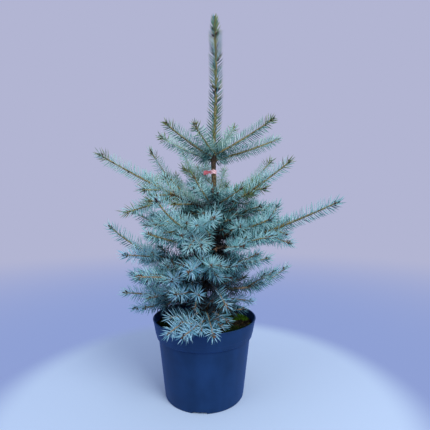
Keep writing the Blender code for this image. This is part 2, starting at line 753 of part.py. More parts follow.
def make_leader(space, cutter):
    """The leader's needles, on a skin round the trunk's top that is open below and closed over its tip."""
    twig = leader_twig()

    def build(bm):
        rings = []
        for i, (point, ahead, radius) in enumerate(zip(twig.points, twig.aheads, twig.radii)):
            rings.append(ring_at(bm, point, ahead, lambda _: radius, LEADER_SIDES, i * LEADER_TWIST))
        bands, cap = loft(bm, rings)
        make_point(bm, cap, twig.points[-1] + Vector((0, 0, LEADER_CAP)))
        raise_needles(bm, twig, bands, space, random.Random("leader needles"))

    leader = object_of("needles_leader", build, needles())
    cut(leader, cutter)
    keep_outer_shell(leader)


def make_bough(name, twig, cutter):
    """A limb's bare first part, cut clear of the trunk."""

    def build(bm):
        rings = []
        for point, ahead, radius in zip(twig.points, twig.aheads, twig.radii):
            rings.append(ring_at(bm, point, ahead, lambda _: radius, BOUGH_SIDES, 0.0))
        loft(bm, rings)

    bough = object_of(f"bough_{name}", build, bark())
    cut(bough, cutter)
    smooth(bough)


def trunk_line():
    """The trunk below the leader, for other stems to keep clear of."""
    heights = evenly(round((LEADER_FOOT - TRUNK_FOOT) / RING_STEP), TRUNK_FOOT, LEADER_FOOT)
    points = [trunk_point(height) for height in heights]
    return Twig(WOOD, 0, points, [], [trunk_radius(height) for height in heights], 0.0)


def grow():
    """Every mass's twigs, the boughs, and the space that they share."""
    space = Space()
    space.add(trunk_line())
    space.add(leader_twig())
    boughs, masses = {}, {}
    for limb in LIMBS:
        split = limb.bare / limb_length(limb)
        if split:
            boughs[limb.name] = stretch(WOOD, limb, 0.0, split)
            space.add(boughs[limb.name])
            split += GAP / limb_length(limb)
        masses[limb.name] = [stretch(limb.name, limb, split, 1.0)]
        space.add(masses[limb.name][0])
    for limb in LIMBS:
        chance = random.Random(limb.name)
        pairs = [(fork, side) for fork in limb.forks for side in (1, -1)]
        for number, (fork, side) in enumerate(pairs, 1):
            twig = side_twig(limb, number, fork, side, chance)
            space.balance()
            if space.twig_fits(twig):
                masses[limb.name].append(twig)
                space.add(twig)
    space.balance()
    return boughs, masses, space


def main():
    for obj in list(bpy.data.objects):
        bpy.data.objects.remove(obj)
    make_pot()
    make_soil()
    make_trunk()
    make_tie()
    clearance = object_of("clearance", lambda bm: trunk_shape(bm, GAP), bark())
    boughs, masses, space = grow()
    for name, twig in boughs.items():
        make_bough(name, twig, clearance)
    for name, twigs in masses.items():
        make_mass(name, twigs, space, None if name in boughs else clearance)
    make_leader(space, clearance)
    remove(clearance)


main()
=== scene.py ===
"""The looks of a young blue spruce in a round nursery pot.

Metres, +Z up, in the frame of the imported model: the origin is on the pot's axis at its flat
underside, and -Y is the plant's front. Azimuths are in degrees, 0 to the right, -90 to the front.
The tree grows here by the same rule as its solids, and goes on to finer twigs and real needles.
"""

import math
import random
from collections import namedtuple
from functools import cache

import bpy
import numpy as np
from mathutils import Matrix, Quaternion, Vector, noise
from mathutils.kdtree import KDTree


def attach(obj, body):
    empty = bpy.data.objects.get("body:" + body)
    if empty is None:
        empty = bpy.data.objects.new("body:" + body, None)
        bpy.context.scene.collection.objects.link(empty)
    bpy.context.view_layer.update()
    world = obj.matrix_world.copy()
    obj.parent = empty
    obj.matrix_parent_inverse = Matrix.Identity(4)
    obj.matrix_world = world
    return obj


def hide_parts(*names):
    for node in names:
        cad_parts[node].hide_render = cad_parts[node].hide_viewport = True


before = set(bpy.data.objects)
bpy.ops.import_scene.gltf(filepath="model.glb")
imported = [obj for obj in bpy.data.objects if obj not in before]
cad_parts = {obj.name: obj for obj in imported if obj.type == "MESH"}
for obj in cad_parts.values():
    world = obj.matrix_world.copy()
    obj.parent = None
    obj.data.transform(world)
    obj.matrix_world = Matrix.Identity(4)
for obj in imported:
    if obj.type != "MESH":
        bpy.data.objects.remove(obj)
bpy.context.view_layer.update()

# The camera, and the photograph's width in pixels.
PHOTO_WIDTH = 430
CAMERA_FOCAL_PIXELS = 311
CAMERA_PLACE = (0.0267, -0.797, 0.448)

# The pot: a tapered wall with a wider, stepped collar round its mouth.
POT_HEIGHT = 0.191
RIM_RADIUS = 0.130
COLLAR_HEIGHT = 0.043
COLLAR_FOOT_RADIUS = 0.1203
COLLAR_STEP_HEIGHT = 0.003
COLLAR_RIDGE_HEIGHT = 0.010
COLLAR_RIDGE = 0.0006
WALL_TOP_RADIUS = 0.1155
FOOT_RADIUS = 0.0988
HEEL_RADIUS = 0.0025
WALL_THICKNESS = 0.0018
FLOOR_THICKNESS = 0.0055
LIP_RADIUS = 0.0012
LIP_DEPTH = 2.5 * LIP_RADIUS
POT_STEPS = 144
HEEL_STEPS = 8
LIP_STEPS = 7
NOTCH_AZIMUTH = -94.5
NOTCH_COUNT = 4
NOTCH_SIZE = (0.020, 0.034, 0.0046)
NOTCH_CORNER = 0.0016
DRAIN_COUNT = 6
DRAIN_STEPS = 28
DRAIN_RADIUS = 0.006
DRAIN_CIRCLE = 0.066

# The soil that fills it, level round the trunk, falling towards the wall, and lumpy between.
SOIL_EDGE_HEIGHT = 0.171
SOIL_HEIGHT = 0.178
SOIL_FLAT_RADIUS = 0.024
SOIL_LEDGE = 0.013
SOIL_LUMP = 0.0045
SOIL_LUMPS_PER_METRE = 38
SOIL_STEPS = 144
SOIL_RINGS = 46
SOIL_INNER_RING = 0.002
SOIL_GRAIN = 0.0022
SOIL_GRAINS_PER_METRE = 210
SOIL_DUST = 0.6
SOIL_DUST_FINER = 2.3

# The trunk: height and sideways place of each bend, and its radius at some heights.
GAP = 0.0003
TRUNK_FOOT = SOIL_HEIGHT + GAP
TRUNK_TIP = 0.950
TRUNK_BENDS = (
    (TRUNK_FOOT, 0.000, 0.000),
    (0.250, -0.001, 0.001),
    (0.330, 0.008, 0.003),
    (0.400, 0.018, 0.003),
    (0.470, 0.0245, 0.002),
    (0.594, 0.0229, 0.000),
    (0.750, 0.0286, 0.001),
    (0.840, 0.0288, 0.001),
    (TRUNK_TIP, 0.0258, 0.000),
)
TRUNK_RADII = (
    (TRUNK_FOOT, 0.0095),
    (0.330, 0.0080),
    (0.470, 0.0066),
    (0.600, 0.0059),
    (0.650, 0.0043),
    (TRUNK_TIP, 0.0026),
)
TRUNK_SAMPLES = 28
LEADER_SAMPLES = 21
FLARE = 0.55
FLARE_HEIGHT = 0.014
BUTTRESSES = 5
BUTTRESS_DEPTH = 0.3
TRUNK_SIDES = 26
TRUNK_RING = 0.0022
WHORL_HEIGHT = 0.592
WHORL_SWELL = 0.0016
WHORL_SPAN = 0.011
LEADER_FOOT = 0.622
LEADER_SKIN = 0.0013

# Its bark: 0 for old, 1 for grey and 2 for olive up to each height, and the relief, which is shallow on the
# leader. The old, dark bark again round the top whorl is painted shade, where the whorl's limbs shade the
# trunk.
TRUNK_BARKS = ((0.500, 0), (0.566, 1), (0.606, 0), (1.0, 2))
BARK_TOP = 0.590
BARK_FADE = 0.06
BARK_RELIEF = 0.0011
LEADER_RELIEF = 0.0004
GRAIN_AROUND = 2.2
GRAIN_UP = 160
CRACKS_AROUND = 3.1
CRACKS_UP = 60
CRACK_SHIFT = 7
CRACK_SHARPNESS = 6

# The tape tied round the trunk under the top whorl, its ends pinched together on the left.
TIE_HEIGHT = 0.553
TIE_WIDTH = 0.010
TIE_FILM = 0.0005
TIE_STEPS = 48
TIE_ROWS = 8
TIE_TAIL = 0.019
TIE_TAIL_STEPS = 14
TIE_TAIL_DROOP = 0.003
TIE_TAIL_GAP = 0.0007
TIE_TAIL_SPLAY = 0.0022
TIE_TAIL_CURL = 0.0012
TIE_PINCH = 0.45
TIE_PINCH_AT = 1.6
TIE_ROOM = 0.0006
TIE_CREASE = 0.0005
TIE_CREASES = 5
TIE_CREASE_SLANT = 9
TIE_KNOT = 0.0009
TIE_KNOT_SPAN = 0.2
TIE_WAVE = 0.0006
TIE_WAVES = 3

# Limbs and twigs, as in the solids.
LIMB_FOOT_RADIUS = 0.0022
LIMB_THICKENING = 0.008
TIP_RADIUS = 0.0017
RING_STEP = 0.016
SAMPLE_STEP = 0.003
TWIG_ROOM = 0.004
POT_ROOM = 0.0011
RIM_ROOM = 0.004
HEADING_SPAN = 0.01
SIDE_SPREAD = 46
SIDE_BEND = 0.12
SIDE_VARY = 0.10
SIDE_BARE = 0.011
SIDE_THINNER = 0.85

# A limb leaves the trunk at its height and reaches out at its azimuth to a tip that is rise above
# where it left; sag is how far its middle hangs under a straight line. The first part of it, bare
# metres long, has no needles. Its side twigs are as long as the share side of what is left of the
# limb past their fork, and climb by lift. Each fork says how far along the limb a pair of them
# leaves, how many degrees the pair is rolled, left side up, how long its left and its right twig
# are beside the rest, and the pair's spread from the limb in degrees. A name starts with the
# limb's whorl.
Fork = namedtuple("Fork", "share roll left right spread", defaults=(0, 1, 1, SIDE_SPREAD))
Limb = namedtuple("Limb", "name height azimuth reach rise sag bare side lift forks", defaults=(0, 0, 0, ()))
LIMBS = (
    Limb("top_left", 0.594, 203, 0.126, 0.075, 0.004),
    Limb("top_back_left", 0.588, 160, 0.156, 0.074, 0.006),
    Limb("top_front", 0.606, -116, 0.099, 0.049, 0.003),
    Limb("top_right", 0.600, -15, 0.150, 0.082, 0.004),
    Limb("top_low_right", 0.588, 12, 0.178, 0.064, 0.004),
    Limb("top_back", 0.604, 62, 0.129, 0.100, 0.006),
    Limb("upper_left", 0.454, 190, 0.279, 0.139, 0.006, 0.060, 0.60, -0.10,
         (Fork(0.36, -65, 1.06, 0.5), Fork(0.46, -25, 0.6, 0.8))),
    Limb("upper_back_left", 0.470, 152, 0.207, 0.162, 0.036, 0.060, 0.70, 0.20,
         (Fork(0.44, 20, 0.7, 0.6), Fork(0.58, -20, 0.5, 0.5))),
    Limb("upper_rear", 0.490, 118, 0.230, 0.171, 0.016, 0, 0.60, 0.20, (Fork(0.50, 0, 0.5, 1),)),
    Limb("upper_back", 0.468, 80, 0.174, 0.121, 0.010, 0.045, 0.75, 0.30, (Fork(0.45, 0, 1, 0.4),)),
    Limb("upper_back_right", 0.478, 36, 0.207, 0.130, 0.020, 0, 0.75, 0.10, (Fork(0.45, 0, 0.35, 0.8),)),
    Limb("upper_right", 0.456, -10, 0.190, 0.124, 0.008, 0.050, 0.60, 0.00, (Fork(0.38, 30, 0.8, 0.45),)),
    Limb("upper_front_right", 0.472, -55, 0.109, 0.037, 0.003),
    Limb("upper_front", 0.464, -118, 0.099, 0.072, 0.004),
    Limb("second_front", 0.432, -120, 0.220, 0.045, 0.040, 0.055, 1.00, -0.10,
         (Fork(0.42, 15, 0.95, 0.75, 56), Fork(0.50, -25, 0.85, 0.6, 64))),
    Limb("second_right", 0.452, 12, 0.158, 0.022, 0.010, 0, 0.75, 0.20, (Fork(0.40), Fork(0.58, 25))),
    Limb("second_left", 0.420, 172, 0.212, 0.036, 0.020, 0.055, 0.60, 0.10, (Fork(0.40), Fork(0.58, -25))),
    Limb("middle_right", 0.354, -22, 0.308, 0.122, 0.006, 0.060, 0.50, 0.00,
         (Fork(0.34, 15, 1, 0.9), Fork(0.46, 70, 0.8, 0.85))),
    Limb("middle_right_front", 0.388, -46, 0.188, 0.052, 0.004, 0, 0.75, 0.05, (Fork(0.45),)),
    Limb("middle_front", 0.374, -70, 0.200, 0.013, 0.006, 0.050, 0.80, 0.07, (Fork(0.45, 8, 1.2, 0.5),)),
    Limb("middle_front_left", 0.346, -100, 0.200, -0.009, 0.004, 0, 0.80, 0.10, (Fork(0.50, 0, 1, 0.6),)),
    Limb("middle_left_front", 0.364, -129, 0.200, 0.045, 0.004, 0.050, 0.80, 0.10, (Fork(0.50),)),
    Limb("middle_left", 0.352, 192, 0.243, 0.068, 0.040, 0.055, 0.60, -0.10,
         (Fork(0.40, 15, 1.5, 1), Fork(0.55, -10, 0.7, 0.45))),
    Limb("middle_back_left", 0.380, 140, 0.240, 0.068, 0.008, 0, 0.65, 0.15, (Fork(0.40), Fork(0.60, 20))),
    Limb("middle_back", 0.352, 97, 0.235, 0.080, 0.008, 0.050, 0.75, 0.15, (Fork(0.45),)),
    Limb("middle_back_right", 0.378, 48, 0.240, 0.068, 0.008, 0, 0.65, 0.15, (Fork(0.40), Fork(0.60, -20))),
    Limb("lower_right", 0.276, 14, 0.227, 0.028, 0.034, 0.060, 0.60, 0.15, (Fork(0.50, -35, 0.8, 1.3),)),
    Limb("lower_right_front", 0.302, -48, 0.170, 0.061, 0.004, 0.045, 0.85, 0.05,
         (Fork(0.50, -12, 1.15, 0.5),)),
    Limb("lower_front", 0.313, -86, 0.195, 0.037, 0.006, 0, 0.75, 0.05, (Fork(0.50),)),
    Limb("lower_front_left", 0.264, -110, 0.165, 0.020, 0.004, 0, 0.80, 0.05, (Fork(0.50),)),
    Limb("lower_left_front", 0.296, -134, 0.200, 0.022, 0.004, 0, 0.80, 0.05, (Fork(0.50),)),
    Limb("lower_left", 0.256, 191, 0.196, 0.002, 0.006, 0, 0.70, 0.10, (Fork(0.40),)),
    Limb("lower_back_left", 0.284, 163, 0.215, 0.002, 0.014, 0.080, 0.75, 0.10, (Fork(0.55),)),
    Limb("lower_back", 0.290, 112, 0.205, 0.026, 0.008, 0, 0.75, 0.15, (Fork(0.45),)),
    Limb("lower_back_right", 0.262, 62, 0.205, 0.038, 0.008, 0, 0.75, 0.15, (Fork(0.45),)),
    Limb("lowest_right", 0.232, 34, 0.161, -0.030, -0.004),
    Limb("lowest_right_front", 0.286, -69, 0.140, -0.036, -0.006),
    Limb("lowest_front", 0.222, -81, 0.160, -0.024, 0.000, 0.022, 0.85, -0.05,
         (Fork(0.17, -5, 0.6, 1.4), Fork(0.50, -5, 0.6, 1.4))),
    Limb("lowest_left", 0.230, 179, 0.179, -0.022, -0.004, 0, 0.75, 0.05, (Fork(0.55),)),
    Limb("lowest_back", 0.232, 108, 0.165, -0.012, 0.000, 0, 0.75, 0.05, (Fork(0.50),)),
)

# Finer shoots than the solids have: a pair on each twig that is long enough, more on the limbs
# between their forks, and short ones straight from the trunk.
SHOOT_MIN_TWIG = 0.072
SHOOT_AT = 0.42
SHOOT_AT_VARY = 0.08
SHOOT_SHARE = 0.62
SHOOT_SHARE_VARY = 0.15
SHOOT_PAIR_ROLL = 25
SHOOT_SPREAD = 46
SHOOT_LIFT = (-0.05, 0.20)
SHOOT_EVERY = 0.030
SHOOT_ZONE = (0.14, 0.60)
SHOOT_SPACING = (0.2, 0.8)
SHOOT_LENGTH = (0.35, 0.70)
SHOOT_LIMITS = (0.030, 0.062)
SHOOT_ROLL = 75
SHOOT_SHARES = {"top": 0.0, "upper": 0.5, "second": 0.9, "middle": 1.0, "lower": 1.0, "lowest": 0.6}
LIMB_SHOOT_NUMBER = 10

# Where the photograph shows sky through the crown: no finer shoot crosses these openings, given
# in its pixels as across, down and radius.
SKY_GAPS = (
    (172, 243, 10), (196, 260, 5), (247, 296, 7), (253, 270, 6), (143, 240, 8), (245, 174, 12),
    (176, 168, 10), (138, 187, 9), (228, 252, 4), (268, 249, 5), (133, 270, 7), (137, 298, 4),
)
# Where it looks into the dark middle of the crown, nothing finer grows in front.
DARK_GAPS = ((224, 250, 12), (206, 290, 7))
FRONT = -0.03

# Shoots from the trunk, in a spiral between the whorls.
GOLDEN_DEGREES = 137.5
GOLDEN_ANGLE = math.radians(GOLDEN_DEGREES)
INNER_SHOOTS = 72
INNER_HEIGHTS = (0.206, 0.490)
INNER_LENGTH = (0.105, 0.060)
INNER_VARY = (0.8, 1.1)
INNER_CLIMB = (-0.05, 0.6)
INNER_SAG = 0.004

# More of them where the crown shows no sky: height, azimuth, reach and rise of each.
FILL_SHOOTS = (
    (0.480, -80, 0.042, 0.020), (0.489, -165, 0.056, 0.030), (0.484, -22, 0.060, 0.028),
    (0.446, 150, 0.100, 0.022), (0.439, 168, 0.110, 0.014), (0.452, 128, 0.095, 0.012),
    (0.431, 182, 0.085, 0.024), (0.446, 30, 0.100, 0.018), (0.438, 62, 0.095, 0.020),
    (0.430, 4, 0.090, 0.022), (0.424, -62, 0.085, 0.012), (0.405, -66, 0.070, 0.008),
    (0.438, -30, 0.070, 0.012), (0.436, 25, 0.062, 0.004), (0.366, 30, 0.080, 0.000),
    (0.352, 60, 0.075, -0.004), (0.346, 10, 0.060, -0.004), (0.358, 110, 0.070, -0.004),
    (0.372, 75, 0.070, -0.004), (0.345, 80, 0.090, -0.006), (0.338, 50, 0.090, -0.006),
    (0.340, 130, 0.090, -0.004), (0.335, 100, 0.100, 0.000), (0.343, -25, 0.060, -0.006),
    (0.338, 20, 0.085, -0.004), (0.350, 155, 0.070, -0.004),
)

# The needles: how many grow on a metre of stem, how long and wide they are, and how they lean
# from the stem ahead, under it, over it and at its tip. They stand in loose rings of five, whose
# five rows are the combs that a stem shows from the side, and go over into an even spiral in the
# star at its tip. The uncombed limbs have that spiral all along. The new limbs of the top whorl
# have some more needles round their feet.
NEEDLES_PER_METRE = 1020
NEW_NEEDLES_PER_METRE = 1120
NEEDLE_LENGTH = 0.0245
NEEDLE_VARY = 0.05
NEEDLE_WIDTH = 0.0018
NEW_NEEDLE_WIDTH = 0.0021
NEEDLE_WIDTH_VARY = (0.85, 1.15)
NEEDLE_CURVE = (0.04, 0.10)
NEEDLE_BEND = (0.9, 0.4)
NEEDLE_TESTS = (0.45, 0.75, 1.0)
SET_IN = 0.7
UNDER_AND_OVER_SIZE = (0.92, 1.06)
TIP_SHORTER = 0.12
NEW_TIP_SHORTER = 0.35
LEAN_UNDER = 70
LEAN_OVER = 72
LEAN_TIP = 20
LEAN_NEW_TIP = 34
LEAN_VARY = 3
TIP_ZONE = 0.026
TIP_TURN = 1.5
COMB_ANGLE = math.radians(144)
COMB_VARY = 0.13
COMB_ROWS = 5
COMB_LOW = 0.40
RING_LAGS = (0.0, 0.14, -0.10, 0.06, -0.05)
RING_VARY = 0.05
STAR_ZONE = 0.030
UNCOMBED = ("top_back", "upper_rear", "upper_back")
BASE_NEEDLES = 34
BASE_ZONE = (0.007, 0.030)

# How far from a stem's foot its needles start, and how many of a limb's are left there.
NEW_BARE = 0.004
LIMB_BARE = 0.012
LIMB_BARE_SHARE = 0.3
FOOT_NEEDLES = 0.75
# Where no light comes in, a stem has lost its needles up to this share of its length. The stems
# are named by owner, number and order.
BARE_STRETCHES = {("middle_front", 0, 0): 0.62, ("middle_front", 2, 1): 1.0}

# The leader's needles stand in rings. Each row has its place round the leader, in degrees, and the
# share of its needles that grow. The rows in front and behind part to the left and right in turn.
LEADER_NEEDLE_START = 0.603
LEADER_ROWS = ((0, 1.0), (45, 0.2), (90, 1.0), (135, 0.2), (180, 0.8), (225, 0.2), (270, 1.0), (315, 0.2))
LEADER_PARTING = math.radians(24)
LEADER_ROW_VARY = 0.07
LEADER_RING = 0.0070
LEADER_RING_AT = 0.6
LEADER_NEEDLE_WIDTH = 0.0028
LEADER_FOOT_AND_TIP_SIZE = (1.04, 0.60)
LEADER_VARY = 0.04
LEADER_TIP_ZONE = 0.045
LEAN_LEADER = 48
LEAN_LEADER_TIP = 30
LEAN_LEADER_VARY = 1.5

# Buds: a pointed one on each tip, a ring of them behind it, and here and there one further down.
BUD_LENGTH = 0.0075
BUD_WIDTH = 0.0046
BUD_SIZES = (0.85, 1.1)
BUD_SIZE_BY_ORDER = (1.0, 0.9, 0.75)
BUDS_BEHIND_TIP = (4, 4, 2)
BUD_BEHIND_TIP = (0.002, 0.009)
BUD_TURN = 2.1
BUD_SET_IN = 0.001
SIDE_BUD_SIZE = 0.85
SIDE_BUD_AHEAD = 0.8
LOW_BUD_EVERY = 0.07
LOW_BUD_ZONE = (0.45, 0.92)
LOW_BUD_SIZE = 0.6
# Most tip buds at the front of the crown are tan, a painted light where the front is lit; the others are dark
# or brown.
LIT_TAN_BUDS = 0.7
LIT_TAN_FRONT = -0.05
# The leader's buds: height, and angle in radians from its right side.
LEADER_BUDS = (
    (0.912, -0.4), (0.905, 3.6), (0.918, 4.4), (0.908, 5.3), (0.921, 3.9), (0.843, -0.5), (0.858, 3.6),
    (0.774, 3.7), (0.767, -0.5), (0.761, 3.9), (0.766, 4.9),
)
LEADER_BUD_SIZE = 1.25
LEADER_BUD_UP = 0.5
LEADER_TIP_BUD_SIZE = 1.1

# A twig's centre line is the curve from start over knee to end.
Stem = namedtuple("Stem", "owner number order start knee end foot_radius bare")

WOOD = "wood"
UP = Vector((0, 0, 1))
# A way ahead this near to straight up has no upper side.
STEEP = 0.05


def lerp(a, b, share):
    return a + (b - a) * share


def clamp(value):
    return min(1.0, max(0.0, value))


def evenly(count, low=0.0, high=1.0):
    return [lerp(low, high, i / (count - 1)) for i in range(count)]


def along_table(table, at):
    for (low, first), (high, second) in zip(table, table[1:]):
        if at <= high:
            return lerp(first, second, max(0.0, (at - low) / (high - low)))
    return table[-1][1]


def trunk_point(height):
    """The trunk's centre at a height: a smooth curve through the bends."""
    rows = TRUNK_BENDS
    last = len(rows) - 2
    i = min(last, max(0, sum(row[0] <= height for row in rows) - 1))
    before, low, high, after = rows[max(0, i - 1)], rows[i], rows[i + 1], rows[min(last + 1, i + 2)]
    t = (height - low[0]) / (high[0] - low[0])
    place = []
    for k in (1, 2):
        span = high[0] - low[0]
        leave = (high[k] - before[k]) / max(span, high[0] - before[0]) * span
        arrive = (after[k] - low[k]) / max(span, after[0] - low[0]) * span
        cubic = (
            (2 * t**3 - 3 * t**2 + 1) * low[k]
            + (t**3 - 2 * t**2 + t) * leave
            + (3 * t**2 - 2 * t**3) * high[k]
            + (t**3 - t**2) * arrive
        )
        place.append(cubic)
    return Vector((place[0], place[1], height))


def trunk_radius(height):
    return along_table(TRUNK_RADII, height)


def trunk_samples(count, low, high, skin):
    """Points and radii of the trunk, thicker by skin."""
    return [(trunk_point(z), trunk_radius(z) + skin) for z in evenly(count, low, high)]


def outward(azimuth):
    turn = math.radians(azimuth)
    return Vector((math.cos(turn), math.sin(turn), 0.0))


def limb_length(limb):
    return math.hypot(limb.reach, limb.rise)


def off_trunk(owner, number, order, height, reach, sag, radius, bare):
    """A stem that leaves the trunk at a height and ends so far from there, its knee lowered by sag."""
    root = trunk_point(height)
    tip = root + reach
    return Stem(owner, number, order, root, (root + tip) / 2 - UP * sag, tip, radius, bare)


def limb_stem(limb):
    reach = outward(limb.azimuth) * limb.reach + UP * limb.rise
    radius = LIMB_FOOT_RADIUS + LIMB_THICKENING * limb.reach
    return off_trunk(limb.name, 0, 0, limb.height, reach, 2 * limb.sag, radius, limb.bare)


def stem_point(stem, t):
    return stem.start * (1 - t) ** 2 + stem.knee * 2 * t * (1 - t) + stem.end * t**2


def stem_radius(stem, t):
    return lerp(stem.foot_radius, TIP_RADIUS, t)


def stem_heading(stem, t):
    return ((stem.knee - stem.start) * (1 - t) + (stem.end - stem.knee) * t).normalized()


def stem_length(stem):
    return (stem.end - stem.start).length


def stem_samples(stem, start, end, length):
    """Points and radii of the stem, spaced as the solids' rings are."""
    shares = evenly(max(3, round((end - start) * length / RING_STEP) + 1), start, end)
    return [(stem_point(stem, t), stem_radius(stem, t)) for t in shares]


def whorl_of(stem):
    return stem.owner.split("_")[0]


def sway(chance, most):
    """A random step of up to most to either side of zero."""
    return chance.uniform(-most, most)


def twig_off(parent, number, order, share, ahead, side, roll, turn, lift, length):
    """A twig that leaves a stem to one side, turned from its way ahead, and curves forward a little."""
    root = stem_point(parent, share)
    across = UP.cross(ahead).normalized()
    across.rotate(Quaternion(ahead, math.radians(roll)))
    heading = (ahead * math.cos(turn) + across * side * math.sin(turn) + UP * lift).normalized()
    tip = root + (heading + ahead * SIDE_BEND).normalized() * length
    foot = stem_radius(parent, share) * SIDE_THINNER
    return Stem(parent.owner, number, order, root, root + heading * length / 2, tip, foot, SIDE_BARE)


def side_twig(limb, stem, number, fork, side, chance):
    """The twig to one side of a limb at a fork, as in the solids."""
    share, roll, left, right, spread = fork
    ahead = (stem_point(stem, share + HEADING_SPAN) - stem_point(stem, share - HEADING_SPAN)).normalized()
    turn = math.radians(spread * (1 + sway(chance, SIDE_VARY)))
    lift = limb.lift + sway(chance, SIDE_VARY)
    length = limb_length(limb) * (1 - share) * limb.side * (1 + sway(chance, SIDE_VARY))
    length *= left if side == 1 else right
    return twig_off(stem, number, 1, share, ahead, side, roll, turn, lift, length)


def shoot(parent, number, order, share, side, roll, length, chance):
    """A shoot finer than the solids' twigs, off another stem."""
    turn = math.radians(SHOOT_SPREAD * (1 + sway(chance, SIDE_VARY)))
    lift = chance.uniform(*SHOOT_LIFT)
    return twig_off(parent, number, order, share, stem_heading(parent, share), side, roll, turn, lift, length)


def limb_shoots(limb, stem):
    """Shoots between the forks of a limb that branches, to all sides of it."""
    chance = random.Random(f"{limb.name} shoots")
    length = limb_length(limb)
    whorl = whorl_of(stem)
    count = round(length / SHOOT_EVERY * SHOOT_SHARES[whorl]) if limb.forks else 0
    for k in range(count):
        share = lerp(*SHOOT_ZONE, (k + chance.uniform(*SHOOT_SPACING)) / count)
        size = length * (1 - share) * limb.side * chance.uniform(*SHOOT_LENGTH)
        size = min(SHOOT_LIMITS[1], max(SHOOT_LIMITS[0], size))
        side = (-1) ** k
        roll = sway(chance, SHOOT_ROLL)
        if whorl == "upper":
            roll = -side * abs(roll)
        yield shoot(stem, LIMB_SHOOT_NUMBER + k, 1, share, side, roll, size, chance)


def twig_shoots(stem):
    """A pair of shoots on a twig that is long enough."""
    if stem.order != 1 or stem_length(stem) <= SHOOT_MIN_TWIG:
        return
    chance = random.Random(f"{stem.owner} {stem.number} shoots")
    for side in (1, -1):
        length = stem_length(stem) * (1 - SHOOT_AT) * SHOOT_SHARE * (1 + sway(chance, SHOOT_SHARE_VARY))
        share = SHOOT_AT + sway(chance, SHOOT_AT_VARY)
        yield shoot(stem, 0, 2, share, side, sway(chance, SHOOT_PAIR_ROLL), length, chance)


def inner_shoots():
    """Short shoots from the trunk, in a spiral between the whorls and where the crown is full."""
    chance = random.Random("inner shoots")
    shoots = []
    for k in range(INNER_SHOOTS):
        height = lerp(*INNER_HEIGHTS, (k + chance.random()) / INNER_SHOOTS)
        length = lerp(*INNER_LENGTH, k / INNER_SHOOTS) * chance.uniform(*INNER_VARY)
        heading = (outward(GOLDEN_DEGREES * k) + UP * chance.uniform(*INNER_CLIMB)).normalized()
        shoots.append((height, heading * length, INNER_SAG))
    for height, azimuth, reach, rise in FILL_SHOOTS:
        shoots.append((height, outward(azimuth) * reach + UP * rise, 0.0))
    for k, (height, reach, sag) in enumerate(shoots):
        yield off_trunk("inner", k, 1, height, reach, sag, LIMB_FOOT_RADIUS, SIDE_BARE)


class Space:
    """Where the stems run, so that each twig and needle keeps clear of what isn't its own."""

    def __init__(self):
        self.samples = []
        self.tree = None

    def add(self, owner, ends):
        for (a, first), (b, second) in zip(ends, ends[1:]):
            count = max(2, math.ceil((b - a).length / SAMPLE_STEP))
            for share in evenly(count + 1):
                self.samples.append((a.lerp(b, share), lerp(first, second, share), owner))

    def balance(self):
        self.tree = KDTree(len(self.samples))
        for i, sample in enumerate(self.samples):
            self.tree.insert(sample[0], i)
        self.tree.balance()

    def twig_fits(self, owner, ends):
        """True if a twig stays clear of the pot and of every stem that isn't its owner's."""
        for point, radius in ends[1:]:
            _, i, distance = self.tree.find(point, filter=lambda i: self.samples[i][2] != owner)
            if i is not None and distance < radius + self.samples[i][1] + TWIG_ROOM:
                return False
            if not clear_of_pot(point, radius + POT_ROOM):
                return False
        return True

    def touches_wood(self, point):
        _, i, distance = self.tree.find(point)
        return distance < self.samples[i][1] + NEEDLE_WIDTH / 2


def soil_top(x, y):
    """Height of the soil's surface in the solids."""
    share = (math.hypot(x, y) - SOIL_FLAT_RADIUS) / (mouth_radius() - SOIL_LEDGE - SOIL_FLAT_RADIUS)
    share = clamp(share)
    lump = (1 + noise.noise(Vector((x, y, 0.0)) * SOIL_LUMPS_PER_METRE)) * SOIL_LUMP
    return lerp(SOIL_HEIGHT, SOIL_EDGE_HEIGHT, share) + lump * math.sin(math.pi * share)


def mouth_radius():
    return RIM_RADIUS - WALL_THICKNESS


def clear_of_pot(point, margin):
    radius = math.hypot(point.x, point.y)
    if radius > RIM_RADIUS + margin:
        return point.z > margin
    if radius > mouth_radius() - RIM_ROOM - margin:
        return point.z > POT_HEIGHT + margin
    return point.z > soil_top(point.x, point.y) + margin


def grow():
    """Every stem of the tree, and the space that they take."""
    space = Space()
    space.add(WOOD, trunk_samples(TRUNK_SAMPLES, TRUNK_FOOT, LEADER_FOOT, 0.0))
    space.add("leader", trunk_samples(LEADER_SAMPLES, LEADER_FOOT, TRUNK_TIP, LEADER_SKIN))
    stems = []
    for limb in LIMBS:
        stem = limb_stem(limb)
        length = limb_length(limb)
        split = limb.bare / length
        if split:
            space.add(WOOD, stem_samples(stem, 0.0, split, length))
            split += GAP / length
        space.add(limb.name, stem_samples(stem, split, 1.0, length))
        stems.append(stem)
    limbs = list(zip(LIMBS, stems))
    for limb, stem in limbs:
        chance = random.Random(limb.name)
        pairs = [(fork, side) for fork in limb.forks for side in (1, -1)]
        for number, (fork, side) in enumerate(pairs, 1):
            add_if_clear(side_twig(limb, stem, number, fork, side, chance), stems, space)
    for limb, stem in limbs:
        for twig in limb_shoots(limb, stem):
            add_if_clear(twig, stems, space, finer=True)
    for twig in inner_shoots():
        add_if_clear(twig, stems, space, finer=True)
    for stem in list(stems):
        for twig in twig_shoots(stem):
            add_if_clear(twig, stems, space, finer=True)
    space.balance()
    return stems, space


def in_photo(point):
    """Where the camera sees a point, in the photograph's pixels."""
    away = CAMERA_FOCAL_PIXELS / (point.y - CAMERA_PLACE[1])
    middle = PHOTO_WIDTH / 2
    return middle + (point.x - CAMERA_PLACE[0]) * away, middle + (CAMERA_PLACE[2] - point.z) * away


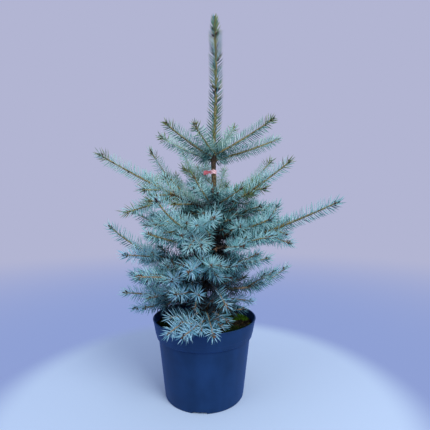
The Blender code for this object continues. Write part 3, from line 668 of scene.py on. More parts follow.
def leaves_sky(ends):
    """True if a twig crosses none of the openings in the crown."""
    seen = [in_photo(point) for point, _ in ends[1:]]
    gaps = SKY_GAPS + DARK_GAPS if ends[-1][0].y < FRONT else SKY_GAPS
    return all(math.dist(place, gap[:2]) > gap[2] for place in seen for gap in gaps)


def add_if_clear(twig, stems, space, finer=False):
    """Keeps a twig if nothing is in its way. A finer one leaves the openings free as well."""
    ends = stem_samples(twig, 0.0, 1.0, stem_length(twig))
    space.balance()
    if space.twig_fits(twig.owner, ends) and (not finer or leaves_sky(ends)):
        stems.append(twig)
        space.add(twig.owner, ends)


def deselect():
    if bpy.context.object and bpy.context.object.mode != "OBJECT":
        bpy.ops.object.mode_set(mode="OBJECT")
    bpy.ops.object.select_all(action="DESELECT")


def take(obj):
    """Makes the object the only one that operators act on."""
    deselect()
    obj.select_set(True)
    bpy.context.view_layer.objects.active = obj


def shaped(obj, kind, **settings):
    """Adds a modifier and applies it."""
    take(obj)
    modifier = obj.modifiers.new("shape", kind)
    for key, value in settings.items():
        setattr(modifier, key, value)
    bpy.ops.object.modifier_apply(modifier=modifier.name)


def finished(obj, name, *materials, smooth):
    """Names a piece, puts its place in its mesh, gives it its materials and lets it ride."""
    take(obj)
    bpy.ops.object.transform_apply(location=True, rotation=True, scale=True)
    bpy.ops.object.shade_smooth_by_angle(angle=math.radians(smooth))
    obj.name = obj.data.name = name
    if materials:
        obj.data.materials.clear()
    for material in materials:
        obj.data.materials.append(material)
    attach(obj, "root")


class Value:
    """A socket of a material, which sums can be written with."""

    def __init__(self, finish, socket):
        self.finish = finish
        self.socket = socket

    def maths(self, operation, first, second):
        return self.finish.node("ShaderNodeMath", {"operation": operation}, first, second)

    def __add__(self, other):
        return self.maths("ADD", self, other)

    __radd__ = __add__

    def __sub__(self, other):
        return self.maths("SUBTRACT", self, other)

    def __rsub__(self, other):
        return self.maths("SUBTRACT", other, self)

    def __mul__(self, other):
        return self.maths("MULTIPLY", self, other)

    __rmul__ = __mul__

    def between(self, low, high):
        """0 where the value is under low, 1 where it is over high, smooth between."""
        smooth = {"interpolation_type": "SMOOTHSTEP"}
        return self.finish.node("ShaderNodeMapRange", smooth, self, low, high, 0.0, 1.0)


class Finish:
    """One material: a Principled shader, and whatever nodes feed it."""

    def __init__(self, name, colour, roughness, **numbers):
        self.material = bpy.data.materials.new(name)
        self.material.use_nodes = True
        self.tree = self.material.node_tree
        self.shader = self.tree.nodes["Principled BSDF"]
        self.shader.inputs["Base Color"].default_value = (*colour, 1.0)
        self.shader.inputs["Roughness"].default_value = roughness
        for key, value in numbers.items():
            self.shader.inputs[key.replace("_", " ")].default_value = value
        self.material.diffuse_color = (*colour, 1.0)

    def node(self, kind, settings, *inputs, out=0, **named):
        """A node of a type with its settings, its sockets filled in order or by name."""
        made = self.tree.nodes.new(kind)
        for key, value in settings.items():
            setattr(made, key, value)
        for key, value in (*enumerate(inputs), *named.items()):
            self.fill(made.inputs[key], value)
        return Value(self, made.outputs[out])

    def fill(self, socket, value):
        """Links a value to a socket, or sets a number or colour on it."""
        if isinstance(value, Value):
            self.tree.links.new(value.socket, socket)
        elif isinstance(value, tuple) and len(value) == 3 and socket.type == "RGBA":
            socket.default_value = (*value, 1.0)
        else:
            socket.default_value = value

    def place(self, stretch=(1.0, 1.0, 1.0)):
        """The point on the object, its axes scaled by stretch."""
        point = self.node("ShaderNodeTexCoord", {}, out="Object")
        return self.node("ShaderNodeMapping", {}, point, Scale=stretch)

    def cloud(self, per_metre, detail=3.0, rough=0.5, stretch=(1.0, 1.0, 1.0)):
        """Noise from 0 to 1 with so many swells to the metre."""
        place = self.place(stretch)
        sockets = {"Vector": place, "Scale": per_metre, "Detail": detail, "Roughness": rough}
        return self.node("ShaderNodeTexNoise", {}, **sockets)

    def flakes(self, per_metre, stretch):
        """How far a point is from the edge of its flake, with so many flakes to the metre."""
        edges = {"feature": "DISTANCE_TO_EDGE"}
        return self.node("ShaderNodeTexVoronoi", edges, Vector=self.place(stretch), Scale=per_metre)

    def mix(self, share, first, second):
        """Colours mixed by a share from 0 to 1."""
        made = self.tree.nodes.new("ShaderNodeMix")
        made.data_type = "RGBA"
        for name, value in (("Factor_Float", share), ("A_Color", first), ("B_Color", second)):
            self.fill(next(s for s in made.inputs if s.identifier == name), value)
        return Value(self, next(s for s in made.outputs if s.identifier == "Result_Color"))

    def feed(self, socket, value):
        """Sets what the shader's own socket of a name gets."""
        self.fill(self.shader.inputs[socket], value)

    def bump(self, height, depth, strength=1.0):
        bumped = self.node("ShaderNodeBump", {}, Strength=strength, Distance=depth, Height=height)
        self.feed("Normal", bumped)


def channel(value):
    """One colour channel as the eye reads it, 0 to 255, as the light that a shader works with."""
    return ((value / 255 + 0.055) / 1.055) ** 2.4 if value > 10 else value / 255 / 12.92


def shade(red, green, blue):
    return channel(red), channel(green), channel(blue)


def plain_finishes(rows, **numbers):
    """A plain finish for each row of name, colour and roughness."""
    return [Finish(name, shade(*colour), roughness, **numbers).material for name, colour, roughness in rows]


def pot_plastic():
    """Dull navy plastic: faint blotches and streaks, specks of dust, and a fine grain."""
    finish = Finish(
        "pot_plastic", shade(18, 44, 86), 0.5, Specular_IOR_Level=0.10,
        Sheen_Weight=0.35, Sheen_Roughness=0.35, Sheen_Tint=(*shade(60, 120, 220), 1.0),
    )
    blotch = finish.cloud(16, detail=4, rough=0.6).between(0.35, 0.70)
    streak = finish.cloud(30, stretch=(1.0, 1.0, 0.12)).between(0.40, 0.75)
    specks = finish.cloud(260, detail=6, rough=0.75).between(0.60, 0.72)
    dust = specks * finish.cloud(22, detail=2).between(0.5, 0.7)
    base = finish.mix(blotch, shade(20, 48, 85), shade(25, 56, 98))
    base = finish.mix(streak * 0.35, base, shade(32, 65, 112))
    finish.feed("Base Color", finish.mix(dust * 0.22, base, shade(90, 110, 145)))
    finish.feed("Roughness", 0.45 + 0.10 * blotch + 0.25 * dust)
    finish.bump(finish.cloud(900, rough=0.6), depth=0.00012, strength=0.5)
    return finish.material


def compost():
    finish = Finish("compost", shade(20, 18, 10), 0.95, Specular_IOR_Level=0.1)
    lump = finish.cloud(300, detail=5, rough=0.7).between(0.35, 0.70)
    finish.feed("Base Color", finish.mix(lump, shade(6, 6, 4), shade(32, 28, 15)))
    finish.bump(finish.cloud(700, detail=4, rough=0.7), depth=0.0008)
    return finish.material


# The barks: the colour in their cracks, the colour between them, and the depth of their relief.
BARKS = {
    "old_bark": ((30, 22, 15), (78, 60, 42), 0.0008),
    "grey_bark": ((38, 32, 18), (110, 94, 58), 0.0006),
    "golden_bark": ((98, 86, 44), (166, 148, 92), 0.0003),
    "tan_bark": ((106, 88, 62), (174, 150, 116), 0.0003),
    "olive_bark": ((70, 68, 34), (138, 132, 84), 0.0004),
}


@cache
def bark(name):
    """Bark with cracks that run along the stem, flakes between them, and a grain."""
    dark, pale, relief = BARKS[name]
    finish = Finish(name, shade(*pale), 0.85)
    flake = finish.flakes(320, (1.0, 1.0, 0.45)).between(0.02, 0.20)
    grain = finish.cloud(620, detail=5, rough=0.7, stretch=(1.0, 1.0, 0.35))
    tone = flake * 0.6 + grain * 0.7 - 0.15
    finish.feed("Base Color", finish.mix(tone.between(0.1, 0.8), shade(*dark), shade(*pale)))
    finish.feed("Roughness", 0.78 + 0.15 * grain)
    finish.bump(flake * 0.7 + grain, relief)
    return finish.material


def tie_tape():
    """Soft pink tape with fine lines along it, paler where it is stretched round the trunk."""
    finish = Finish("tie_tape", shade(232, 120, 128), 0.42, Subsurface_Weight=0.15)
    lines = finish.cloud(500, detail=2, stretch=(0.15, 0.15, 1.0))
    stretched = finish.node("ShaderNodeSeparateXYZ", {}, finish.place()).between(0.012, 0.020)
    pale = finish.mix(lines, shade(238, 168, 172), shade(246, 210, 208))
    finish.feed("Base Color", finish.mix(stretched, shade(190, 92, 100), pale))
    finish.bump(lines, depth=0.0002)
    return finish.material


# The stage: a pale floor near the pot, which turns to lilac and then to the colour of the air.
FLOOR_NEAR = shade(195, 217, 237)
FLOOR_FAR = shade(142, 160, 213)
WORLD_COLOUR = shade(178, 181, 211)
BLACK = (0.0, 0.0, 0.0)
FLOOR_RADIUS = 9.0
FLOOR_NEAR_ENDS = (0.43, 0.56)
FLOOR_FAR_ENDS = (0.5, 3.2)
LIGHT_AIM = Vector((0.02, 0.0, 0.45))


def make_stage():
    """A pale floor that turns to lilac further out, whichever side it is seen from."""
    bpy.ops.mesh.primitive_circle_add(vertices=96, radius=FLOOR_RADIUS, fill_type="NGON")
    floor = bpy.context.object
    floor.name = "floor"
    finish = Finish("floor", FLOOR_NEAR, 1.0, Emission_Strength=1.0, Specular_IOR_Level=0.0)
    away = finish.node("ShaderNodeVectorMath", {"operation": "LENGTH"}, finish.place(), out="Value")
    far = away.between(*FLOOR_NEAR_ENDS)
    finish.feed("Base Color", finish.mix(far, FLOOR_NEAR, BLACK))
    sweep = finish.mix(away.between(*FLOOR_FAR_ENDS), FLOOR_FAR, WORLD_COLOUR)
    finish.feed("Emission Color", finish.mix(far, BLACK, sweep))
    floor.data.materials.append(finish.material)


def make_light(name, place, size, power, colour=(1.0, 1.0, 1.0)):
    """A square soft lamp that looks at the middle of the crown."""
    lamp = bpy.data.lights.new(name, "AREA")
    lamp.size = size
    lamp.energy = power
    lamp.color = colour
    made = bpy.data.objects.new(name, lamp)
    made.location = place
    made.rotation_euler = (LIGHT_AIM - Vector(place)).to_track_quat("-Z", "Y").to_euler()
    bpy.context.scene.collection.objects.link(made)


def make_studio():
    make_light("key", place=(1.3, -1.9, 2.2), size=1.4, power=62)
    make_light("fill", place=(-1.9, -1.3, 1.3), size=1.6, power=12, colour=(0.93, 0.96, 1.0))
    world = bpy.data.worlds.new("studio")
    world.use_nodes = True
    background = world.node_tree.nodes["Background"]
    background.inputs["Color"].default_value = (*WORLD_COLOUR, 1.0)
    background.inputs["Strength"].default_value = 1.0
    bpy.context.scene.world = world
    bpy.context.scene.view_settings.view_transform = "Standard"


def make_camera():
    """Level, at the height of the upper whorl's foot, as the photograph was taken."""
    lens = bpy.data.cameras.new("camera")
    lens.sensor_width = 36.0
    lens.lens = lens.sensor_width * CAMERA_FOCAL_PIXELS / PHOTO_WIDTH
    camera = bpy.data.objects.new("camera", lens)
    camera.location = CAMERA_PLACE
    camera.rotation_euler = (math.radians(90), 0.0, 0.0)
    bpy.context.scene.collection.objects.link(camera)
    bpy.context.scene.camera = camera


def wall_profile(inset):
    """The pot's side from its heel to its lip, moved inwards by inset, as (radius, height)."""
    foot = POT_HEIGHT - COLLAR_HEIGHT
    rise = (RIM_RADIUS - COLLAR_FOOT_RADIUS) / COLLAR_HEIGHT
    ridge = COLLAR_FOOT_RADIUS + rise * COLLAR_RIDGE_HEIGHT
    return [
        (FOOT_RADIUS - inset, HEEL_RADIUS),
        (WALL_TOP_RADIUS - inset, foot - COLLAR_STEP_HEIGHT),
        (COLLAR_FOOT_RADIUS - inset, foot),
        (ridge - inset, foot + COLLAR_RIDGE_HEIGHT),
        (ridge + COLLAR_RIDGE - inset, foot + COLLAR_RIDGE_HEIGHT + COLLAR_RIDGE),
        (RIM_RADIUS - LIP_RADIUS - inset, POT_HEIGHT - LIP_DEPTH),
    ]


def pot_profile():
    """The pot's section: under its floor, up the outside, over the lip and down the inside."""
    corner = FOOT_RADIUS - HEEL_RADIUS
    heel = []
    for turn in evenly(HEEL_STEPS, 0.0, math.pi / 2)[1:-1]:
        heel.append((corner + HEEL_RADIUS * math.sin(turn), HEEL_RADIUS * (1 - math.cos(turn))))
    lip = []
    for turn in evenly(LIP_STEPS, -math.pi / 2, math.pi / 2):
        height = POT_HEIGHT - LIP_RADIUS * (1 - math.sin(turn))
        lip.append((RIM_RADIUS - LIP_RADIUS * (1 - math.cos(turn)), height))
    lip.append((RIM_RADIUS - LIP_RADIUS - WALL_THICKNESS, POT_HEIGHT))
    foot, *inside = wall_profile(WALL_THICKNESS)
    down = [*reversed(inside), (foot[0], FLOOR_THICKNESS), (0.0, FLOOR_THICKNESS)]
    return [(0.0, 0.0), (corner, 0.0), *heel, *wall_profile(0.0), *lip, *down]


def spun(name, profile, steps):
    """A single vertex, extruded along a profile of (radius, height) and spun round the Z axis."""
    bpy.ops.mesh.primitive_plane_add(size=0.01)
    obj = bpy.context.object
    bpy.ops.object.mode_set(mode="EDIT")
    bpy.ops.mesh.merge(type="CENTER")
    bpy.ops.transform.translate(value=(profile[0][0], 0.0, profile[0][1]))
    for (r0, z0), (r1, z1) in zip(profile, profile[1:]):
        bpy.ops.mesh.extrude_region_move(TRANSFORM_OT_translate={"value": (r1 - r0, 0.0, z1 - z0)})
    bpy.ops.mesh.select_all(action="SELECT")
    bpy.ops.mesh.spin(steps=steps, angle=math.tau, center=(0, 0, 0), axis=(0, 0, 1))
    bpy.ops.mesh.select_all(action="SELECT")
    bpy.ops.mesh.remove_doubles(threshold=1e-5)
    bpy.ops.mesh.normals_make_consistent(inside=False)
    bpy.ops.object.mode_set(mode="OBJECT")
    obj.name = name
    return obj


def cut_out(obj, cutter):
    shaped(obj, "BOOLEAN", object=cutter, operation="DIFFERENCE", solver="EXACT")
    bpy.data.objects.remove(cutter)


def make_pot():
    pot = spun("pot_body", pot_profile(), POT_STEPS)
    for i in range(NOTCH_COUNT):
        azimuth = NOTCH_AZIMUTH + 360 / NOTCH_COUNT * i
        bpy.ops.mesh.primitive_cube_add(
            size=1.0, location=outward(azimuth) * FOOT_RADIUS, rotation=(0, 0, math.radians(azimuth))
        )
        cutter = bpy.context.object
        cutter.scale = (NOTCH_SIZE[0], NOTCH_SIZE[1], 2 * NOTCH_SIZE[2])
        bpy.ops.object.transform_apply(location=False, rotation=False, scale=True)
        shaped(cutter, "BEVEL", width=NOTCH_CORNER, segments=3)
        cut_out(pot, cutter)
    for i in range(DRAIN_COUNT):
        place = outward(NOTCH_AZIMUTH + 360 / DRAIN_COUNT * (i + 0.5)) * DRAIN_CIRCLE
        bpy.ops.mesh.primitive_cylinder_add(
            vertices=DRAIN_STEPS, radius=DRAIN_RADIUS, depth=4 * FLOOR_THICKNESS, location=place
        )
        cut_out(pot, bpy.context.object)
    finished(pot, "pot_body", pot_plastic(), smooth=28)
    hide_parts("pot")


def soil_edge():
    """Radius of the pot's inside where the soil meets it."""
    collar, lip = (COLLAR_FOOT_RADIUS, POT_HEIGHT - COLLAR_HEIGHT), (RIM_RADIUS, POT_HEIGHT)
    rise = (SOIL_EDGE_HEIGHT - collar[1]) / (lip[1] - collar[1])
    return lerp(collar[0], lip[0], rise) - WALL_THICKNESS - GAP


def soil_grain(x, y):
    """How far the fine crumbs stand over the solids' soil."""
    place = Vector((x, y, 0.0)) * SOIL_GRAINS_PER_METRE
    fine = noise.noise(place) + SOIL_DUST * noise.noise(place * SOIL_DUST_FINER)
    return SOIL_GRAIN * fine


def make_soil():
    edge = soil_edge()
    foot = FOOT_RADIUS - WALL_THICKNESS - GAP
    low = FLOOR_THICKNESS + GAP
    rings = [(radius, SOIL_EDGE_HEIGHT) for radius in evenly(SOIL_RINGS, edge, SOIL_INNER_RING)]
    neck = POT_HEIGHT - COLLAR_HEIGHT
    side = [
        (0.0, low),
        (foot, low),
        (WALL_TOP_RADIUS - WALL_THICKNESS - GAP, neck - COLLAR_STEP_HEIGHT),
        (COLLAR_FOOT_RADIUS - WALL_THICKNESS - GAP, neck),
    ]
    soil = spun("soil_bed", [*side, *rings, (0.0, SOIL_EDGE_HEIGHT)], SOIL_STEPS)
    for vert in soil.data.vertices:
        radius = math.hypot(vert.co.x, vert.co.y)
        if vert.co.z > SOIL_EDGE_HEIGHT - GAP and radius < edge - GAP:
            vert.co.z = soil_top(vert.co.x, vert.co.y) + soil_grain(vert.co.x, vert.co.y)
    finished(soil, "soil_bed", compost(), smooth=180)
    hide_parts("soil")


def tube(name, sides, heights, place, capped=True):
    """A grid wrapped into a tube: place gives the point for an angle and a height."""
    rows = len(heights) - 1
    bpy.ops.mesh.primitive_grid_add(x_subdivisions=sides, y_subdivisions=rows, size=2)
    obj = bpy.context.object
    for vert in obj.data.vertices:
        angle = math.pi * (vert.co.x + 1)
        vert.co = place(angle, heights[round((vert.co.y + 1) / 2 * rows)])
    bpy.ops.object.mode_set(mode="EDIT")
    bpy.ops.mesh.select_all(action="SELECT")
    bpy.ops.mesh.remove_doubles(threshold=1e-6)
    if capped:
        bpy.ops.mesh.select_all(action="DESELECT")
        bpy.ops.mesh.select_non_manifold()
        bpy.ops.mesh.edge_face_add()
        bpy.ops.mesh.select_all(action="SELECT")
    bpy.ops.mesh.normals_make_consistent(inside=False)
    bpy.ops.object.mode_set(mode="OBJECT")
    obj.name = name
    return obj


def bark_noise(around, scale, level):
    return noise.noise(Vector((around.x * scale, around.y * scale, level)))


def trunk_skin(angle, height):
    """A point of the trunk's surface, with its root flare and the bark's relief."""
    swell = FLARE * math.exp(-(height - TRUNK_FOOT) / FLARE_HEIGHT)
    radius = trunk_radius(height) * (1 + swell * (1 + BUTTRESS_DEPTH * math.cos(BUTTRESSES * angle)))
    around = Vector((math.cos(angle), math.sin(angle), 0.0))
    grain = bark_noise(around, GRAIN_AROUND, height * GRAIN_UP)
    crack = abs(bark_noise(around, CRACKS_AROUND, height * CRACKS_UP + CRACK_SHIFT))
    old = clamp((BARK_TOP - height) / BARK_FADE)
    relief = lerp(LEADER_RELIEF, BARK_RELIEF, old)
    whorl = WHORL_SWELL * math.exp(-(((height - WHORL_HEIGHT) / WHORL_SPAN) ** 2))
    rough = relief * (grain - (1 - crack) ** CRACK_SHARPNESS * old)
    return trunk_point(height) + around * (radius + whorl + rough)


def make_trunk():
    heights = evenly(round((TRUNK_TIP - TRUNK_FOOT) / TRUNK_RING), TRUNK_FOOT, TRUNK_TIP)
    trunk = tube("trunk_wood", TRUNK_SIDES, heights, trunk_skin)
    finished(trunk, "trunk_wood", bark("old_bark"), bark("grey_bark"), bark("olive_bark"), smooth=60)
    for face in trunk.data.polygons:
        face.material_index = bark_at(face.center.z)
    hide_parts("trunk")


def bark_at(height):
    """Which of the trunk's barks is at a height: old, grey, old again at the whorl as painted shade under its
    limbs, olive.
    """
    return next(slot for top, slot in TRUNK_BARKS if height < top)


# The limbs' barks, and how far along a stem the old and the grey one reach. The young wood is
# golden high up and tan lower down.
LIMB_BARKS = ("old_bark", "grey_bark", "golden_bark", "tan_bark")
OLD, GREY, GOLDEN, TAN = range(4)
GOLDEN_FROM = 0.40
LIMB_OLD = 0.26
LIMB_GREY = 0.38
TWIG_GREY = 0.2
BARE_OLD = 0.9
LIMB_COLLAR = 0.55
LIMB_COLLAR_SPAN = 0.009
WOOD_SWELL = 0.10
WOOD_SWELLS_PER_METRE = 120


def stems_piece(stems, sides_step, step):
    """Tapering limbs from one curve object, each in lengths of old, grey and young wood."""
    bpy.ops.curve.primitive_nurbs_path_add()
    obj = bpy.context.object
    curve = obj.data
    curve.splines.clear()
    curve.bevel_depth = 1.0
    curve.bevel_resolution = sides_step
    curve.use_fill_caps = True
    curve.resolution_u = 1
    for name in LIMB_BARKS:
        curve.materials.append(bark(name))
    for stem in stems:
        length = stem_length(stem)
        for slot, start, end in wood_ages(stem):
            shares = evenly(max(3, round((end - start) * length / step)), start, end)
            spline = curve.splines.new("POLY")
            spline.points.add(len(shares) - 1)
            spline.use_smooth = True
            spline.material_index = slot
            for point, t in zip(spline.points, shares):
                collar = 1 + LIMB_COLLAR * math.exp(-t * length / LIMB_COLLAR_SPAN) if stem.order == 0 else 1
                point.co = (*stem_point(stem, t), 1.0)
                point.radius = stem_radius(stem, t) * collar * wood_swell(stem, t)
    take(obj)
    bpy.ops.object.convert(target="MESH")
    return bpy.context.object


def wood_ages(stem):
    """Which bark a stem has from where to where: old near the trunk, young at its end."""
    young = GOLDEN if stem.end.z > GOLDEN_FROM else TAN
    if stem[:3] in BARE_STRETCHES:
        old = BARE_OLD * BARE_STRETCHES[stem[:3]]
        return ((OLD, 0.0, old), (young, old, 1.0))
    if whorl_of(stem) == "top" or stem.order == 2:
        return ((young, 0.0, 1.0),)
    if stem.order == 1:
        return ((GREY, 0.0, TWIG_GREY), (young, TWIG_GREY, 1.0))
    return ((OLD, 0.0, LIMB_OLD), (GREY, LIMB_OLD, LIMB_GREY), (young, LIMB_GREY, 1.0))


def wood_swell(stem, t):
    return 1 + WOOD_SWELL * noise.noise(stem_point(stem, t) * WOOD_SWELLS_PER_METRE)


def make_wood(stems):
    limbs = stems_piece([stem for stem in stems if stem.order == 0], sides_step=3, step=0.004)
    relief = bpy.data.textures.new("bark_relief", "CLOUDS")
    relief.noise_scale = 0.004
    shaped(limbs, "DISPLACE", texture=relief, strength=0.0012, mid_level=0.5, texture_coords="LOCAL")
    finished(limbs, "limb_wood", smooth=60)
    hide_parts(*[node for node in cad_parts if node.startswith("bough_")])
    twigs = stems_piece([stem for stem in stems if stem.order > 0], sides_step=1, step=0.006)
    finished(twigs, "twig_wood", smooth=60)


# One needle, bud, blade or crumb to be copied to a place: which way it grows, which way it bends,
# its length, width and how far its tip is bent aside as a share of its length, and its tint.
Sprig = namedtuple("Sprig", "root ahead bend length width curve tint")


def template(make, **settings):
    """The vertices and faces of a small shape that grows 1 long along +Z, as lists."""
    make(**settings)
    obj = bpy.context.object
    if obj.mode != "OBJECT":
        bpy.ops.object.mode_set(mode="OBJECT")
    bpy.ops.object.transform_apply(location=True, rotation=True, scale=True)
    verts = np.array([tuple(vert.co) for vert in obj.data.vertices])
    faces = [list(face.vertices) for face in obj.data.polygons]
    bpy.data.objects.remove(obj)
    return verts, faces


def leaf(sides, radius, waist, swell):
    """A needle or leaf with flat sides, widest at its waist, with a sharp tip."""
    bpy.ops.mesh.primitive_cone_add(vertices=sides, radius1=radius, depth=1.0, location=(0, 0, 0.5))
    bpy.ops.object.mode_set(mode="EDIT")
    bpy.ops.mesh.select_all(action="SELECT")
    bpy.ops.mesh.bisect(plane_co=(0, 0, waist), plane_no=(0, 0, 1))
    bpy.ops.transform.resize(value=(swell, swell, 1.0))


def pointed_bud(taper_from, taper, ring_turns, ring_depth):
    """A bud that narrows to a point, whose scales stand out in rings."""
    bpy.ops.mesh.primitive_uv_sphere_add(segments=7, ring_count=8, radius=0.5, location=(0, 0, 0.45))
    bpy.ops.object.transform_apply(location=True, rotation=True, scale=True)
    for vert in bpy.context.object.data.vertices:
        height = vert.co.z
        narrow = 1.0 if height < taper_from else 1.0 - (height - taper_from) * taper
        scale = 1 + ring_depth * math.sin(height * ring_turns) * (0.1 < height < 0.8)
        vert.co.x *= narrow * scale
        vert.co.y *= narrow * scale
        if height > 0.9:
            vert.co.z = 1.05


def crumb():
    bpy.ops.mesh.primitive_ico_sphere_add(subdivisions=1, radius=0.5, location=(0, 0, 0.3))


def splinter(broad, thick):
    """A flat piece of bark with broken edges."""
    bpy.ops.mesh.primitive_cube_add(size=1.0, location=(0, 0, 0.5))
    bpy.context.object.scale = (broad, thick, 1.0)
    bpy.ops.object.transform_apply(location=True, rotation=True, scale=True)
    bpy.ops.object.mode_set(mode="EDIT")
    bpy.ops.mesh.bevel(offset=thick / 2, segments=1)


def copies(name, shape, sprigs, tints, nodes=(), smooth=60):
    """One piece of many copies of a small shape, each bent to its own place."""
    verts, faces = shape
    side, front, up = (verts[None, :, k] for k in range(3))
    root, ahead, bend, length, width, curve, tint = (np.array(row)[:, None] for row in zip(*sprigs))
    across = np.cross(bend, ahead)
    along = up * length
    aside = side * width
    over = front * width + curve * length * up**2
    points = root + ahead * along[..., None] + across * aside[..., None] + bend * over[..., None]
    mesh = bpy.data.meshes.new(name)
    count = len(verts)
    all_faces = [[corner + i * count for corner in face] for i in range(len(sprigs)) for face in faces]
    mesh.from_pydata(points.reshape(-1, 3).tolist(), [], all_faces)
    obj = bpy.data.objects.new(name, mesh)
    bpy.context.scene.collection.objects.link(obj)
    finished(obj, name, *tints, smooth=smooth)
    mesh.polygons.foreach_set("material_index", np.repeat(tint.astype(np.int32), len(faces)))
    if nodes:
        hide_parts(*nodes)


def sideways(ahead, angle):
    """A unit vector square to the way ahead, at an angle from its upper side."""
    across = UP.cross(ahead)
    across = across.normalized() if across.length > STEEP else Vector((1, 0, 0))
    up = ahead.cross(across).normalized()
    return up * math.cos(angle) + across * math.sin(angle)


# The needles' tints, from the darkest, which are painted shade inside the crown and old needles there, to the
# palest. They turn from blue at the crown's foot to teal in its middle and a soft green at its top. The last
# two are for young tips.
SHADE_TINTS = {"shade": (6, 13, 16), "deep": (15, 32, 38)}
HUE_STEPS = ("dark_", "mid_", "", "pale_", "frosted_")
HUES = {
    "blue": ((32, 64, 76), (50, 98, 109), (76, 134, 148), (110, 172, 188), (158, 206, 220)),
    "teal": ((36, 76, 78), (56, 110, 111), (84, 144, 142), (119, 180, 178), (162, 210, 208)),
    "sage": ((46, 82, 77), (68, 115, 107), (98, 149, 138), (134, 178, 164), (172, 206, 194)),
}
YOUNG_TINTS = {"green": (84, 118, 84), "fresh": (116, 138, 78)}
BLUE, TEAL, SAGE = range(3)
SHADE_TONES = len(SHADE_TINTS)
TINTS_IN_HUE = len(HUE_STEPS)
TONES = SHADE_TONES + TINTS_IN_HUE
GREEN_TINT = SHADE_TONES + TINTS_IN_HUE * len(HUES)

# How they are dealt out: the heights over which the crown turns teal and sage, how many needles
# keep to their own height's hue and not their stem's, and how green young tips are.
TEAL_FROM = (0.20, 0.40)
SAGE_FROM = (0.50, 0.68)
OWN_HUE = 0.45
GREEN_WHORLS = {"top": 1.0, "upper": 0.6}
GREEN_SPRAYS = 0.8
GREEN_LEAST = 0.05
GREEN_FOOT = 0.45
GREEN_GAIN = 0.5
FRESH = 0.5
LEADER_GREEN = 0.35
LEADER_TIP_GREEN = 0.85
LEADER_TIP_FROM = 0.1
LEADER_SAGE = 0.85
LEADER_TONES = (0.28, 0.74)

# How pale a needle is, from 0 to 1: what its place, its age and painted light and shade add to it. Paler on a
# stem's upper side and on lit whorls is painted light. Darker near the trunk is partly old needles and partly
# painted shade inside the crown. Paler further out is partly young needles and partly painted light.
INSIDE_RADIUS = 0.045
OUTSIDE_SPAN = 0.10
# From these heights up the crown counts as open to the light, and its inside gets less painted shade.
OPEN_FROM = (0.40, 0.54)
OPEN_SHARE = 0.85
TONE_OUTSIDE_AGE_AND_LIGHT = 0.55
TONE_PAINTED_INSIDE_SHADE = -0.20
TONE_YOUNG = 0.22
TONE_PAINTED_TOP_LIGHT = 0.26
YOUNG_BY_ORDER = (0.2, 0.6, 0.8)
YOUNG_ALONG = 0.5
PALE_SHARE = 0.4
PALE_STEP = 0.18
DULL_STEP = -0.09
LIT_WHORLS = {"top": 0.13, "upper": 0.22, "second": 0.10, "lowest": 0.05}
TONE_VARY = 0.05
SPRAY_VARY = 0.08


def needle_tints():
    colours = dict(SHADE_TINTS)
    for hue, row in HUES.items():
        for step, colour in zip(HUE_STEPS, row):
            colours[step + hue] = colour
    colours.update(YOUNG_TINTS)
    rows = [("needles_" + name, colour, 0.50) for name, colour in colours.items()]
    return plain_finishes(rows, Sheen_Weight=0.12)


def passed(span, at):
    """How much of a span from low to high lies below a value, from 0 to 1."""
    low, high = span
    return clamp((at - low) / (high - low))


def hue_at(height, chance):
    """Blue, teal or sage: dealt out by height."""
    if chance.random() < passed(SAGE_FROM, height):
        return SAGE
    return TEAL if chance.random() < passed(TEAL_FROM, height) else BLUE


def tint_of(tone, hue):
    """The tint for a tone from 0 to 1 in one of the hues."""
    step = min(TONES - 1, max(0, int(tone * TONES)))
    return step + TINTS_IN_HUE * hue if step >= SHADE_TONES else step


def young_tint(chance):
    return GREEN_TINT + (chance.random() < FRESH)


def needle_tone(stem, share, point, over, chance):
    """How pale a needle is: pale on young wood, with painted light outside, above and on lit whorls, and
    painted shade inside and under; the dark inside also stands partly for old needles.
    """
    inside = trunk_point(min(TRUNK_TIP, max(TRUNK_FOOT, point.z)))
    out = clamp((math.hypot(point.x - inside.x, point.y - inside.y) - INSIDE_RADIUS) / OUTSIDE_SPAN)
    out = lerp(out, 1.0, OPEN_SHARE * passed(OPEN_FROM, point.z))
    young = YOUNG_BY_ORDER[stem.order] + YOUNG_ALONG * share
    pale = PALE_STEP if chance.random() < PALE_SHARE else DULL_STEP
    # Painted light on the upper side of the stem; paler outside, partly for younger needles and partly as
    # painted light.
    tone = TONE_OUTSIDE_AGE_AND_LIGHT * out + TONE_YOUNG * clamp(young) + TONE_PAINTED_TOP_LIGHT * over + pale
    tone += LIT_WHORLS.get(whorl_of(stem), 0.0)
    # Painted shade deepens the inside of the crown.
    return tone + TONE_PAINTED_INSIDE_SHADE * (1 - out) + chance.gauss(0.0, TONE_VARY)


def needle_tint(stem, share, point, over, spray, green, hue, chance):
    """A needle's tint: a young tip is green, and the others have a tone in their hue."""
    if green > GREEN_LEAST and chance.random() < GREEN_FOOT + GREEN_GAIN * green:
        return young_tint(chance)
    if chance.random() < OWN_HUE:
        hue = hue_at(point.z, chance)
    return tint_of(needle_tone(stem, share, point, over, chance) + spray, hue)


def leader_tint(tip, chance):
    """Sage or teal, with green among it and most of it at the tip."""
    green = chance.random() < (LEADER_TIP_GREEN if tip > LEADER_TIP_FROM else LEADER_GREEN)
    tone = chance.uniform(*LEADER_TONES)
    if green:
        return young_tint(chance)
    return tint_of(tone, SAGE if chance.random() < LEADER_SAGE else TEAL)


def first_needle(stem):
    """How far from a stem's foot its needles start."""
    if whorl_of(stem) == "top":
        return NEW_BARE
    return max(stem.bare * LIMB_BARE_SHARE, LIMB_BARE) if stem.order == 0 else stem.bare


def ringed(i, chance):
    """A needle's place along its stem, counted in needles, in its ring of five."""
    ring, row = divmod(i, COMB_ROWS)
    return max(0.0, (ring + 0.5 + RING_LAGS[row] + chance.gauss(0, RING_VARY)) * COMB_ROWS)


